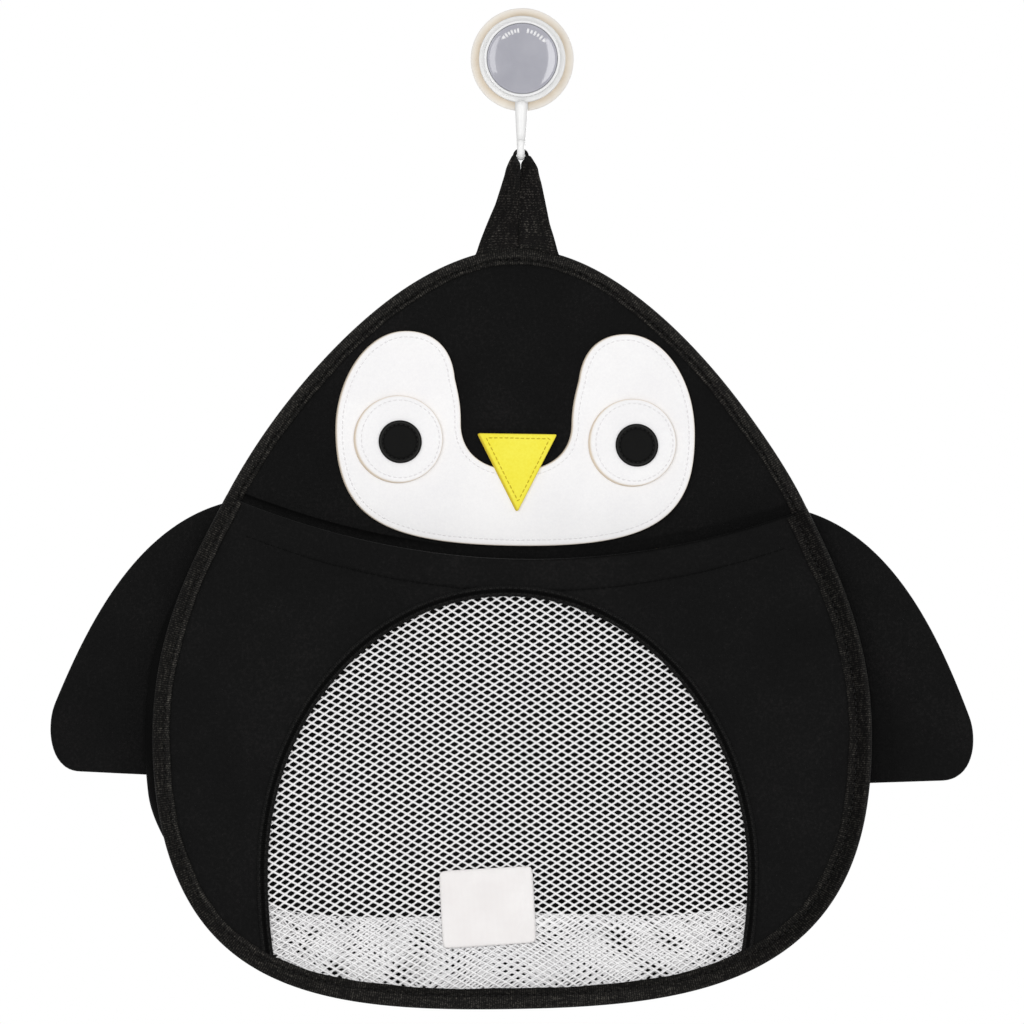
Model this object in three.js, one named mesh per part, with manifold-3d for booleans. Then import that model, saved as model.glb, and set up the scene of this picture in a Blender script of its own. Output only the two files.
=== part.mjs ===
import * as THREE from 'three';
import { mergeVertices } from 'three/addons/utils/BufferGeometryUtils.js';
import Module from 'manifold-3d';

// A penguin-shaped bath toy pouch that hangs by a strap loop from a twist-lock suction hook.
// Millimetres. X runs right, Y runs into the wall, Z runs up. The cup's centre on the wall is the origin.

// Fits and materials
const FIT_GAP = 0.3;
const NEOPRENE = 3.0;
const PATCH_FELT = 1.6;
const EYE_FELT = 1.4;
const PUPIL_FELT = 1.0;
const TAPE = 0.8;
const BINDING_WIDTH = 10;
const GUSSET_CLOTH = 2.0;
const GUSSET_SEAM_IN = 2.5;
const NET_CLOTH = 0.8;
const HEM_CLOTH = 1.2;
const HEM_GAP = 0.5;

// Suction cup
const CUP_RADIUS = 23.5;
const CUP_SEAL_INNER = 15.5;
const CUP_LIP = 1.4;
const CUP_FLANK_DEPTH = 4.2;
const CUP_SHOULDER_RADIUS = 10;
const CUP_SHOULDER_DEPTH = 6.2;
const CUP_BOSS_RADIUS = 8.5;
const CUP_BOSS_DEPTH = 8.0;
const CUP_CEILING_RADIUS = 8.0;
const CUP_CEILING_DEPTH = 5.0;

// Pull stud
const STUD_RADIUS = 2.8;
const STUD_FOOT_RADIUS = 6.5;
const STUD_FOOT = 1.2;
const PIN_RADIUS = 1.25;
const PIN_HALF_LENGTH = 11;
const STUD_TRAVEL = 3.0;
const PIN_LOCKED_DEPTH = 16.25;

// Hook base and its J hook
const BASE_RADIUS = 19.75;
const BASE_WALL = 2.25;
const BASE_PLATE = 2.7;
const BASE_EDGE_ROUND = 0.9;
const COLLAR_WALL = 3.1;
const COLLAR_DEPTH = 17.0;
const STEM_DEPTH = 8.2;
const STEM_TOP_RADIUS = 3.0;
const STEM_LOW_RADIUS = 1.9;
const ROD_RADIUS = 1.75;
const HOOK_BEND = 3.0;
const HOOK_SEAT_FLAT = 10.3;
const SEAT_Z = -44.5;
const HOOK_TIP_RISE = 6.0;

// Twist knob and cap
const KNOB_RADIUS = 17.4;
const KNOB_RIM = 1.2;
const KNOB_WALL = 3.1;
const KNOB_LENGTH = 11.3;
const KNOB_WEB = 1.5;
const CAP_RECESS = 2.9;
const CAP_RIM = 2.3;
const CAP_DISH = 1.3;
const KNOB_TURN = Math.PI / 2;
const CAM_INNER_RADIUS = 6.5;
const CAM_DWELL = 0.2;

// Strap loop
const STRAP_CLOTH = 1.6;
const STRAP_CROWN = 0.1;
const STRAP_BASE_WIDTH = 17.9;
const STRAP_TOP_WIDTH = 10.4;
const STRAP_EARLY_TURN = 62 * Math.PI / 180;
const STRAP_SPLIT = 0.62;
const LOOP_DROP = 43.0;
const LOOP_SEAM = 0.8;

// Pouch outline, right half, measured down from the top of the head
const BODY_HEIGHT = 344;
const BODY_HALF_WIDTH = 163.8;
const HIP_DROP = 221;
const SHOULDER_X = 131;
const SHOULDER_DROP = 111.5;
const SHOULDER_SLOPE = 62.8 * Math.PI / 180;
const HEAD_HANDLE = 58;
const SHOULDER_HANDLE_UP = 48;
const SHOULDER_HANDLE_DOWN = 38;
const HIP_HANDLE_UP = 45;
const HIP_HANDLE_DOWN = 115;
const BOTTOM_HANDLE = 87;

// Pocket
const MOUTH_DROP = 113;
const MOUTH_SAG = 26.5;
const HEM_DEPTH = 16;
const POCKET_DEPTH = 44;
const POCKET_BELLY = 16;
const NET_GUSSET_DROP = 256.5;
const FOLD_HEIGHT = 42;

// Window in the pocket
const WINDOW_CENTRE_DROP = 282.5;
const WINDOW_HALF_WIDTH = 109.6;
const WINDOW_RISE = 125;
const WINDOW_FALL = 165;
const WINDOW_FOOT_DROP = 324.5;
const TRIM_WIDTH = 6;
const TRIM_OVERLAP = 3;
const NET_PITCH_X = 19.5;
const NET_PITCH_Z = 13;
const NET_STRAND = 2.4;

// Label
const LABEL_WIDTH = 42.5;
const LABEL_HEIGHT = 35;
const LABEL_CLOTH = 0.6;
const LABEL_X = -11;
const LABEL_RISE = 45.5;

// Face
const FACE_NOTCH_DROP = 100;
const FACE_NOTCH_HALF = 25.5;
const FACE_NOTCH_RISE = 21.5;
const FACE_LOBE_SIDE_IN = 31.5;
const FACE_LOBE_RISE = 62.8;
const FACE_LOBE_INNER_X = 28.5;
const FACE_LOBE_INNER_RISE = 41.5;
const FACE_HALF_WIDTH = 81.8;
const FACE_CHEEK_RISE = 17.5;
const FACE_CHIN = 34.5;
const EYE_RADIUS = 19.9;
const EYE_SIDE_IN = 28.4;
const EYE_RISE = 13.5;
const PUPIL_RADIUS = 9.8;
const PUPIL_OUT = 0.6;
const PUPIL_DOWN = 1.0;
const BEAK_HALF_WIDTH = 17.8;
const BEAK_RISE = 16.8;
const BEAK_LENGTH = 34.9;
const BEAK_CORNER = 1.2;

// Fins
const FIN_FOOT_DROP = 241;
const FIN_TIP_OUT = 45.5;
const FIN_TIP_DROP = 210.5;
const FIN_CORNER_OUT = 33.2;
const FIN_CORNER_DROP = 239.8;
const FIN_TIP_SWELL = 3.5;
const FIN_FOLD_CLEARANCE = 4;

// Derived planes, as depths in front of the wall
const HEAD_TOP_Z = SEAT_Z - LOOP_DROP;
const BOTTOM_Z = HEAD_TOP_Z - BODY_HEIGHT;
const BACK_REAR = TAPE + FIT_GAP;
const BACK_FACE = BACK_REAR + NEOPRENE;
const BACK_BINDING_FACE = BACK_FACE + FIT_GAP + TAPE;
const POCKET_EDGE_TOP = BACK_BINDING_FACE + FIT_GAP + TAPE + FIT_GAP + NEOPRENE;
const PATCH_FACE = BACK_FACE + FIT_GAP + PATCH_FELT;
const EYE_FACE = PATCH_FACE + FIT_GAP + EYE_FELT;
const PUPIL_FACE = EYE_FACE + FIT_GAP + PUPIL_FELT;
const PANEL_IN = TAPE + FIT_GAP;
const MOUTH_Z = HEAD_TOP_Z - MOUTH_DROP;
const BASE_CEILING = CUP_BOSS_DEPTH + FIT_GAP;
const BASE_FACE = BASE_CEILING + BASE_PLATE;
const KNOB_REAR = BASE_FACE + FIT_GAP;
const KNOB_FACE = KNOB_REAR + KNOB_LENGTH;
const HOOK_TIP_DEPTH = STEM_DEPTH + 2 * HOOK_BEND + HOOK_SEAT_FLAT;
const SEAT_MIDDLE_DEPTH = (STEM_DEPTH + HOOK_TIP_DEPTH) / 2;

const wasm = await Module();
wasm.setup();

// Solid helpers

function outward(geometry) {
  const p = geometry.attributes.position;
  const index = geometry.index;
  const a = new THREE.Vector3();
  const b = new THREE.Vector3();
  const c = new THREE.Vector3();
  let volume = 0;
  for (let i = 0; i < index.count; i += 3) {
    a.fromBufferAttribute(p, index.getX(i));
    b.fromBufferAttribute(p, index.getX(i + 1));
    c.fromBufferAttribute(p, index.getX(i + 2));
    volume += a.dot(b.cross(c));
  }
  if (volume < 0) {
    for (let i = 0; i < index.count; i += 3) {
      const first = index.getX(i);
      index.setX(i, index.getX(i + 2));
      index.setX(i + 2, first);
    }
  }
  return geometry;
}

function welded(geometry) {
  const bare = geometry.clone();
  for (const name of Object.keys(bare.attributes)) {
    if (name !== 'position') bare.deleteAttribute(name);
  }
  return outward(mergeVertices(bare, 1e-4));
}

function fromPoints(points, triangles) {
  const geometry = new THREE.BufferGeometry();
  const numbers = points.flatMap((p) => [p.x, p.y, p.z]);
  geometry.setAttribute('position', new THREE.Float32BufferAttribute(numbers, 3));
  geometry.setIndex(triangles);
  return outward(geometry);
}

function toManifold(geometry) {
  const g = welded(geometry);
  const mesh = new wasm.Mesh({
    numProp: 3,
    vertProperties: new Float32Array(g.attributes.position.array),
    triVerts: new Uint32Array(g.index.array),
  });
  return new wasm.Manifold(mesh);
}

function fromManifold(solid) {
  const mesh = solid.getMesh();
  const geometry = new THREE.BufferGeometry();
  geometry.setAttribute('position', new THREE.Float32BufferAttribute(Array.from(mesh.vertProperties), 3));
  geometry.setIndex(Array.from(mesh.triVerts));
  return geometry;
}

const joined = (...parts) => fromManifold(parts.map(toManifold).reduce((a, b) => a.add(b)));
const cut = (part, tool) => fromManifold(toManifold(part).subtract(toManifold(tool)));
const common = (a, b) => fromManifold(toManifold(a).intersect(toManifold(b)));

// A turned piece about the cup's axis; each pair is a radius and a depth in front of the wall.
function turned(pairs, segments) {
  const profile = pairs.map(([radius, depth]) => new THREE.Vector2(radius, -depth));
  return welded(new THREE.LatheGeometry(profile, segments));
}

const ring = (pairs, segments) => turned([...pairs, pairs[0]], segments);

// A flat plate cut to a face outline in X and Z, its front at the given depth.
function plate(outline, depth, thickness) {
  const shape = new THREE.Shape(outline);
  const flat = new THREE.ExtrudeGeometry(shape, { depth: thickness, bevelEnabled: false });
  const p = flat.attributes.position;
  for (let i = 0; i < p.count; i += 1) p.setXYZ(i, p.getX(i), p.getZ(i) - depth, p.getY(i));
  return welded(flat);
}

// Rings of equal count joined into one skin, with flat ends unless the run closes on itself.
function loft(rings, section, closed = false) {
  const n = section.length;
  const triangles = [];
  const last = closed ? rings.length : rings.length - 1;
  for (let i = 0; i < last; i += 1) {
    const a = i * n;
    const b = ((i + 1) % rings.length) * n;
    for (let j = 0; j < n; j += 1) {
      const k = (j + 1) % n;
      triangles.push(a + j, a + k, b + k, a + j, b + k, b + j);
    }
  }
  if (!closed) {
    const end = (rings.length - 1) * n;
    for (const [p, q, r] of THREE.ShapeUtils.triangulateShape(section, [])) {
      const clockwise = THREE.ShapeUtils.isClockWise(section);
      triangles.push(...(clockwise ? [p, q, r] : [p, r, q]));
      triangles.push(...(clockwise ? [end + p, end + r, end + q] : [end + p, end + q, end + r]));
    }
  }
  return fromPoints(rings.flat(), triangles);
}

// A cloth sheet as a closed solid between two faces, both given over u and v from 0 to 1.
function sheet(columns, rows, face, back) {
  const points = [];
  for (const side of [face, back]) {
    for (const v of rows) {
      for (const u of columns) points.push(side(u, v));
    }
  }
  const nu = columns.length;
  const nv = rows.length;
  const half = nu * nv;
  const triangles = [];
  for (let j = 0; j < nv - 1; j += 1) {
    for (let i = 0; i < nu - 1; i += 1) {
      const a = j * nu + i;
      const d = a + nu;
      triangles.push(a, a + 1, d + 1, a, d + 1, d);
      triangles.push(half + a, half + d + 1, half + a + 1, half + a, half + d, half + d + 1);
    }
  }
  const rim = [];
  for (let i = 0; i < nu; i += 1) rim.push(i);
  for (let j = 1; j < nv; j += 1) rim.push(j * nu + nu - 1);
  for (let i = nu - 2; i >= 0; i -= 1) rim.push((nv - 1) * nu + i);
  for (let j = nv - 2; j > 0; j -= 1) rim.push(j * nu);
  rim.forEach((a, i) => {
    const b = rim[(i + 1) % rim.length];
    triangles.push(b, a, half + a, b, half + a, half + b);
  });
  return fromPoints(points, triangles);
}

const steps = (count) => Array.from({ length: count + 1 }, (_, i) => i / count);
const mix = THREE.MathUtils.lerp;
const v2 = (x, z) => new THREE.Vector2(x, z);

// Pouch outline: the outer edge of its binding, from the head's top down the right side to the bottom.
const shoulder = v2(SHOULDER_X, HEAD_TOP_Z - SHOULDER_DROP);
const shoulderRun = v2(Math.cos(SHOULDER_SLOPE), -Math.sin(SHOULDER_SLOPE));
const hip = v2(BODY_HALF_WIDTH, HEAD_TOP_Z - HIP_DROP);
const halfOutline = new THREE.CurvePath();
halfOutline.add(new THREE.CubicBezierCurve(
  v2(0, HEAD_TOP_Z),
  v2(HEAD_HANDLE, HEAD_TOP_Z),
  shoulder.clone().addScaledVector(shoulderRun, -SHOULDER_HANDLE_UP),
  shoulder,
));
halfOutline.add(new THREE.CubicBezierCurve(
  shoulder,
  shoulder.clone().addScaledVector(shoulderRun, SHOULDER_HANDLE_DOWN),
  v2(hip.x, hip.y + HIP_HANDLE_UP),
  hip,
));
halfOutline.add(new THREE.CubicBezierCurve(
  hip,
  v2(hip.x, hip.y - HIP_HANDLE_DOWN),
  v2(BOTTOM_HANDLE, BOTTOM_Z),
  v2(0, BOTTOM_Z),
));

// The outline falls all the way, so a height picks one place on it.
function placeAt(z) {
  let low = 0;
  let high = 1;
  for (let i = 0; i < 40; i += 1) {
    const middle = (low + high) / 2;
    if (halfOutline.getPoint(middle).y > z) low = middle;
    else high = middle;
  }
  return (low + high) / 2;
}

const halfWidth = (z) => halfOutline.getPoint(placeAt(THREE.MathUtils.clamp(z, BOTTOM_Z, HEAD_TOP_Z))).x;

// Shared stations along the outline, so that every sewn edge follows the same chords.
const headCount = 16;
const finCount = 9;
const hipCount = 1;
const flankCount = 6;
const bottomCount = 8;
const mouthStation = headCount;
const finFootStation = mouthStation + finCount;
const netGussetStation = finFootStation + hipCount;
const windowFootStation = netGussetStation + flankCount;
const lastStation = windowFootStation + bottomCount;
const anchors = [
  [0, 0],
  [mouthStation, placeAt(MOUTH_Z)],
  [finFootStation, placeAt(HEAD_TOP_Z - FIN_FOOT_DROP)],
  [netGussetStation, placeAt(HEAD_TOP_Z - NET_GUSSET_DROP)],
  [windowFootStation, placeAt(HEAD_TOP_Z - WINDOW_FOOT_DROP)],
  [lastStation, 1],
];

function stationPlace(k) {
  const i = Math.max(0, anchors.findIndex(([at]) => at >= k) - 1);
  const [k0, u0] = anchors[i];
  const [k1, u1] = anchors[i + 1];
  return mix(u0, u1, (k - k0) / (k1 - k0));
}

const stations = Array.from({ length: lastStation + 1 }, (_, k) => {
  const place = stationPlace(k);
  const level = k === 0 || k === lastStation;
  const run = level ? v2(k === 0 ? 1 : -1, 0) : halfOutline.getTangent(place);
  return { point: halfOutline.getPoint(place), inward: v2(run.y, -run.x) };
});

// A point on the outline moved inward; negative stations are on the left side.
function edge(k, inset) {
  const { point, inward } = stations[Math.abs(k)];
  const p = point.clone().addScaledVector(inward, inset);
  if (k < 0) p.x = -p.x;
  return p;
}

const span = (from, to) => {
  const step = Math.sign(to - from);
  return Array.from({ length: Math.abs(to - from) + 1 }, (_, i) => from + i * step);
};
const wholeRun = [...span(0, lastStation), ...span(1 - lastStation, -1)];
const wholeEdge = (inset) => wholeRun.map((k) => edge(k, inset));
const lowerRun = (first) => [...span(-first, -lastStation), ...span(lastStation - 1, first)];

// Depth of the pocket panel's face in front of the wall.
function pocketDepth(x, z) {
  const fall = THREE.MathUtils.clamp((MOUTH_Z - z) / (MOUTH_Z - BOTTOM_Z), 0, 1);
  const half = Math.max(halfWidth(z), 1e-3);
  const across = Math.max(0, 1 - (x / half) ** 2);
  return mix(POCKET_EDGE_TOP, POCKET_DEPTH, fall) + POCKET_BELLY * (1 - fall) * across;
}

// A place on the pocket panel, set back behind its face.
const onPocket = (p, back) => new THREE.Vector3(p.x, back - pocketDepth(p.x, p.y), p.y);

// Folded tape: a U section round a cloth edge, as inset and set-back from the cloth's face.
const tapeSection = [
  v2(0, -FIT_GAP - TAPE),
  v2(BINDING_WIDTH, -FIT_GAP - TAPE),
  v2(BINDING_WIDTH, -FIT_GAP),
  v2(TAPE, -FIT_GAP),
  v2(TAPE, NEOPRENE + FIT_GAP),
  v2(BINDING_WIDTH, NEOPRENE + FIT_GAP),
  v2(BINDING_WIDTH, NEOPRENE + FIT_GAP + TAPE),
  v2(0, NEOPRENE + FIT_GAP + TAPE),
];

const root = new THREE.Group();
root.name = 'bath_toy_organizer';

function add(name, geometry, colour, roughness) {
  const material = new THREE.MeshStandardMaterial({ color: colour, roughness, metalness: 0 });
  const mesh = new THREE.Mesh(geometry, material);
  mesh.name = name;
  root.add(mesh);
}

const BLACK = 0x1a1a1a;
const BLACK_TAPE = 0x222224;
const WHITE_CLOTH = 0xf4f3f4;
const WHITE_PLASTIC = 0xf6f6f4;
const YELLOW = 0xf5e23c;
const CUP_BEIGE = 0xe4d6c0;
const CAP_GREY = 0xb0b0ba;
const STUD_GREY = 0xd8d8d8;

// Suction cup: a flat sealing rim, a hollow behind it and a boss that the base bears on.
const cupSlope = (CUP_FLANK_DEPTH - CUP_LIP) / (CUP_RADIUS - CUP_SEAL_INNER);
add('suction_cup', ring([
  [STUD_RADIUS + FIT_GAP, CUP_BOSS_DEPTH],
  [CUP_BOSS_RADIUS, CUP_BOSS_DEPTH],
  [CUP_SHOULDER_RADIUS, CUP_SHOULDER_DEPTH],
  [CUP_SEAL_INNER, CUP_FLANK_DEPTH],
  [CUP_RADIUS, CUP_LIP],
  [CUP_RADIUS, 0],
  [CUP_SEAL_INNER, 0],
  [(CUP_SEAL_INNER + CUP_CEILING_RADIUS) / 2, CUP_CEILING_DEPTH * 0.6],
  [CUP_CEILING_RADIUS, CUP_CEILING_DEPTH],
  [STUD_RADIUS + FIT_GAP, CUP_CEILING_DEPTH],
], 36), CUP_BEIGE, 0.35);

// Pull stud: a foot behind the cup, a shaft through it and a cross pin on the knob's cams.
const studFront = PIN_LOCKED_DEPTH + PIN_RADIUS;
const footFace = CUP_CEILING_DEPTH - FIT_GAP;
const studBody = turned([
  [0, footFace - STUD_FOOT],
  [STUD_FOOT_RADIUS, footFace - STUD_FOOT],
  [STUD_FOOT_RADIUS, footFace],
  [STUD_RADIUS, footFace],
  [STUD_RADIUS, studFront],
  [0, studFront],
], 24);
const crossPin = new THREE.CylinderGeometry(PIN_RADIUS, PIN_RADIUS, 2 * PIN_HALF_LENGTH, 16);
crossPin.rotateZ(Math.PI / 2);
crossPin.translate(0, -PIN_LOCKED_DEPTH, 0);
add('pull_stud', joined(studBody, crossPin), STUD_GREY, 0.4);

// Hook base: a cup-shaped plate with a slotted collar that keeps the cross pin from turning.
const cupFaceAt = (radius) => CUP_LIP + cupSlope * (CUP_RADIUS - radius);
const baseInner = BASE_RADIUS - BASE_WALL;
const collarRadius = STUD_RADIUS + FIT_GAP + COLLAR_WALL;
const basePlate = ring([
  [STUD_RADIUS + FIT_GAP, BASE_CEILING],
  [baseInner - 1, BASE_CEILING],
  [baseInner, cupFaceAt(baseInner) + FIT_GAP],
  [BASE_RADIUS, cupFaceAt(BASE_RADIUS) + FIT_GAP],
  [BASE_RADIUS, BASE_FACE - BASE_EDGE_ROUND],
  [BASE_RADIUS - BASE_EDGE_ROUND, BASE_FACE],
  [collarRadius, BASE_FACE],
  [collarRadius, COLLAR_DEPTH],
  [STUD_RADIUS + FIT_GAP, COLLAR_DEPTH],
], 36);
const slotDepth = COLLAR_DEPTH + 1 - BASE_FACE - FIT_GAP;
const collarSlot = new THREE.BoxGeometry(2 * collarRadius + 2, slotDepth, 2 * (PIN_RADIUS + FIT_GAP));
collarSlot.translate(0, -BASE_FACE - FIT_GAP - slotDepth / 2, 0);

// J hook: a tapering stem down from the plate's lower edge, a straight seat and a short upturned tip.
const hookPath = new THREE.CurvePath();
const at = (depth, z) => new THREE.Vector3(0, -depth, z);
const stemTopZ = BASE_WALL / 2 - BASE_RADIUS;
const tipZ = SEAT_Z + HOOK_TIP_RISE;
const corners = [
  at(STEM_DEPTH, stemTopZ),
  at(STEM_DEPTH, SEAT_Z + HOOK_BEND),
  at(STEM_DEPTH + HOOK_BEND, SEAT_Z),
  at(HOOK_TIP_DEPTH - HOOK_BEND, SEAT_Z),
  at(HOOK_TIP_DEPTH, SEAT_Z + HOOK_BEND),
  at(HOOK_TIP_DEPTH, tipZ),
];
const bend = (a, elbow, b) => new THREE.QuadraticBezierCurve3(a, elbow, b);
const hookPieces = [
  [new THREE.LineCurve3(corners[0], corners[1]), 3],
  [bend(corners[1], at(STEM_DEPTH, SEAT_Z), corners[2]), 4],
  [new THREE.LineCurve3(corners[2], corners[3]), 1],
  [bend(corners[3], at(HOOK_TIP_DEPTH, SEAT_Z), corners[4]), 4],
  [new THREE.LineCurve3(corners[4], corners[5]), 1],
];
const circle = (count) => steps(count).slice(0, -1).map((t) => {
  const angle = 2 * Math.PI * t;
  return v2(Math.cos(angle), Math.sin(angle));
});
const rodSection = circle(12);
const hookRings = [];
const hookRing = (centre, run, radius) => rodSection.map((s) => new THREE.Vector3(
  s.x * radius,
  centre.y - run.z * s.y * radius,
  centre.z + run.y * s.y * radius,
));
hookPieces.forEach(([curve, count], piece) => {
  for (const t of steps(count).slice(piece === 0 ? 0 : 1)) {
    const low = piece === 1 ? mix(STEM_LOW_RADIUS, ROD_RADIUS, t) : ROD_RADIUS;
    const radius = piece === 0 ? mix(STEM_TOP_RADIUS, STEM_LOW_RADIUS, t) : low;
    hookRings.push(hookRing(curve.getPoint(t), curve.getTangent(t), radius));
  }
});
hookRings.push(hookRing(at(HOOK_TIP_DEPTH, tipZ + ROD_RADIUS * 0.6), at(0, 1), ROD_RADIUS * 0.75));
const jHook = loft(hookRings, rodSection);
add('hook_base', joined(cut(basePlate, collarSlot), jHook), WHITE_PLASTIC, 0.35);

// Twist knob: a cup-shaped ring with two helical cams under the cross pin.
const recessRadius = KNOB_RADIUS - KNOB_RIM;
const webFace = KNOB_FACE - CAP_RECESS;
const knobBore = KNOB_RADIUS - KNOB_WALL;
const knobShell = turned([
  [0, webFace - KNOB_WEB],
  [knobBore, webFace - KNOB_WEB],
  [knobBore, KNOB_REAR],
  [KNOB_RADIUS, KNOB_REAR],
  [KNOB_RADIUS, KNOB_FACE - 0.4],
  [KNOB_RADIUS - 0.4, KNOB_FACE],
  [recessRadius, KNOB_FACE],
  [recessRadius, webFace],
  [0, webFace],
], 36);
const camTop = PIN_LOCKED_DEPTH - PIN_RADIUS - FIT_GAP;
const camFoot = KNOB_REAR + FIT_GAP / 2;

// The pin sinks as the knob turns, so the cam's face falls by the stud's travel over the knob's turn.
function cam(turn) {
  const rings = steps(12).map((t) => {
    const angle = mix(-KNOB_TURN - CAM_DWELL, CAM_DWELL, t);
    const face = camTop + Math.min(0, angle) * STUD_TRAVEL / KNOB_TURN;
    const round = (radius, depth) => new THREE.Vector3(
      radius * Math.cos(angle + turn),
      -depth,
      radius * Math.sin(angle + turn),
    );
    const top = Math.max(face, camFoot + 0.2);
    const rim = knobBore + 0.5;
    const foot = [round(CAM_INNER_RADIUS, camFoot), round(rim, camFoot)];
    return [...foot, round(rim, top), round(CAM_INNER_RADIUS, top)];
  });
  return loft(rings, [v2(0, 0), v2(1, 0), v2(1, 1), v2(0, 1)]);
}
add('twist_knob', joined(knobShell, cam(0), cam(Math.PI)), WHITE_PLASTIC, 0.3);

const capRadius = recessRadius - FIT_GAP;
const capRear = webFace + FIT_GAP;
add('knob_cap', turned([
  [0, capRear],
  [capRadius, capRear],
  [capRadius, capRear + CAP_RIM],
  [capRadius - 1.1, capRear + CAP_RIM],
  [capRadius * 0.8, capRear + CAP_RIM - CAP_DISH * 0.6],
  [capRadius * 0.4, capRear + CAP_RIM - CAP_DISH * 0.95],
  [0, capRear + CAP_RIM - CAP_DISH],
], 36), CAP_GREY, 0.3);

// Strap loop: each leg starts flat on the head and turns edge-on to lie over the hook's seat.
// Its section is slightly crowned, and its lower end follows the head's curve along the seam.
const strapCrown = (x) => 1 - STRAP_CROWN * x * x;
const strapAcross = [-1, -0.5, 0, 0.5, 1];
const strapSection = [
  ...strapAcross.map((x) => v2(x, -strapCrown(x))),
  ...strapAcross.map((x) => v2(-x, strapCrown(x))),
];
const archRadius = ROD_RADIUS + FIT_GAP + STRAP_CLOTH / 2;
const strapBaseZ = HEAD_TOP_Z + LOOP_SEAM;
const strapBaseDepth = (BACK_REAR + BACK_FACE) / 2;
const headFall = (x) => {
  let k = 0;
  while (stations[k + 1].point.x < x) k += 1;
  const a = stations[k].point;
  const b = stations[k + 1].point;
  return HEAD_TOP_Z - mix(a.y, b.y, (x - a.x) / (b.x - a.x));
};

function strapRing(centreX, centreZ, depth, width, turn, lean, settle) {
  return strapSection.map((s) => {
    const wide = s.x * width / 2;
    const thick = s.y * STRAP_CLOTH / 2;
    const x = centreX + wide * Math.cos(turn) - thick * Math.sin(turn) * Math.cos(lean);
    const y = -depth + wide * Math.sin(turn) + thick * Math.cos(turn);
    const z = centreZ + thick * Math.sin(lean) - settle * headFall(Math.abs(x));
    return new THREE.Vector3(x, y, z);
  });
}

function strapLeg(t) {
  const turn = STRAP_EARLY_TURN * t ** 0.55 + (Math.PI / 2 - STRAP_EARLY_TURN) * t ** 8;
  const width = mix(STRAP_BASE_WIDTH, STRAP_TOP_WIDTH, t);
  const shut = FIT_GAP / 2 + STRAP_CLOTH / 2 * Math.sin(turn);
  const split = THREE.MathUtils.smoothstep(t, STRAP_SPLIT, 1);
  const gap = shut + (archRadius - FIT_GAP / 2 - STRAP_CLOTH / 2) * split;
  const x = -gap - width / 2 * Math.cos(turn);
  const depth = mix(strapBaseDepth, SEAT_MIDDLE_DEPTH, t);
  return { x, z: mix(strapBaseZ, SEAT_Z, t), depth, width, turn, settle: (1 - t) ** 6 };
}

const leftLeg = steps(14).map((t) => {
  const l = strapLeg(t ** 1.3);
  return strapRing(l.x, l.z, l.depth, l.width, l.turn, 0, l.settle);
});
const arch = steps(8).slice(1, -1).map((t) => {
  const lean = Math.PI * t;
  const x = -archRadius * Math.cos(lean);
  const z = SEAT_Z + archRadius * Math.sin(lean);
  return strapRing(x, z, SEAT_MIDDLE_DEPTH, STRAP_TOP_WIDTH, Math.PI / 2, lean, 0);
});
const mirrored = (p) => new THREE.Vector3(-p.x, p.y, p.z);
const rightLeg = [...leftLeg].reverse().map((points) => points.map(mirrored));
const strapRings = [...leftLeg, ...arch, ...rightLeg];
add('loop_strap', loft(strapRings, strapSection), BLACK_TAPE, 0.8);

// Back panel with the head, and the tape folded round its whole edge.
add('back_panel', plate(wholeEdge(PANEL_IN), BACK_FACE, NEOPRENE), BLACK, 0.9);
add('back_binding', loft(wholeRun.map((k) => tapeSection.map((s) => {
  const p = edge(k, s.x);
  return new THREE.Vector3(p.x, s.y - BACK_FACE, p.y);
})), tapeSection, true), BLACK_TAPE, 0.8);

// Face patch: a lobe above each eye, joined under the beak.
const faceZ = HEAD_TOP_Z - FACE_NOTCH_DROP;
const faceHalf = new THREE.Path();
const faceCurve = (x1, rise1, x2, rise2, x, rise) => faceHalf.bezierCurveTo(
  x1, faceZ + rise1, x2, faceZ + rise2, x, faceZ + rise,
);
const faceLobeX = FACE_HALF_WIDTH - FACE_LOBE_SIDE_IN;
const innerLean = (FACE_LOBE_INNER_X - FACE_NOTCH_HALF) / 2;
faceHalf.moveTo(0, faceZ);
faceCurve(
  FACE_NOTCH_HALF * 0.55, 0,
  FACE_NOTCH_HALF, FACE_NOTCH_RISE * 0.3,
  FACE_NOTCH_HALF, FACE_NOTCH_RISE,
);
faceCurve(
  FACE_NOTCH_HALF, mix(FACE_NOTCH_RISE, FACE_LOBE_INNER_RISE, 0.4),
  FACE_LOBE_INNER_X - innerLean, mix(FACE_NOTCH_RISE, FACE_LOBE_INNER_RISE, 0.7),
  FACE_LOBE_INNER_X, FACE_LOBE_INNER_RISE,
);
faceCurve(
  FACE_LOBE_INNER_X + innerLean, mix(FACE_LOBE_INNER_RISE, FACE_LOBE_RISE, 0.7),
  mix(FACE_LOBE_INNER_X, faceLobeX, 0.48), FACE_LOBE_RISE,
  faceLobeX, FACE_LOBE_RISE,
);
faceCurve(
  mix(faceLobeX, FACE_HALF_WIDTH, 0.56), FACE_LOBE_RISE,
  FACE_HALF_WIDTH, mix(FACE_CHEEK_RISE, FACE_LOBE_RISE, 0.53),
  FACE_HALF_WIDTH, FACE_CHEEK_RISE,
);
faceCurve(
  FACE_HALF_WIDTH, mix(FACE_CHEEK_RISE, -FACE_CHIN, 0.76),
  FACE_HALF_WIDTH * 0.76, -FACE_CHIN,
  0, -FACE_CHIN,
);
const faceRight = faceHalf.getPoints(6);
const faceLeft = faceRight.slice(1, -1).reverse().map((p) => v2(-p.x, p.y));
add('face_patch', plate([...faceRight, ...faceLeft], PATCH_FACE, PATCH_FELT), WHITE_CLOTH, 0.85);

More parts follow.
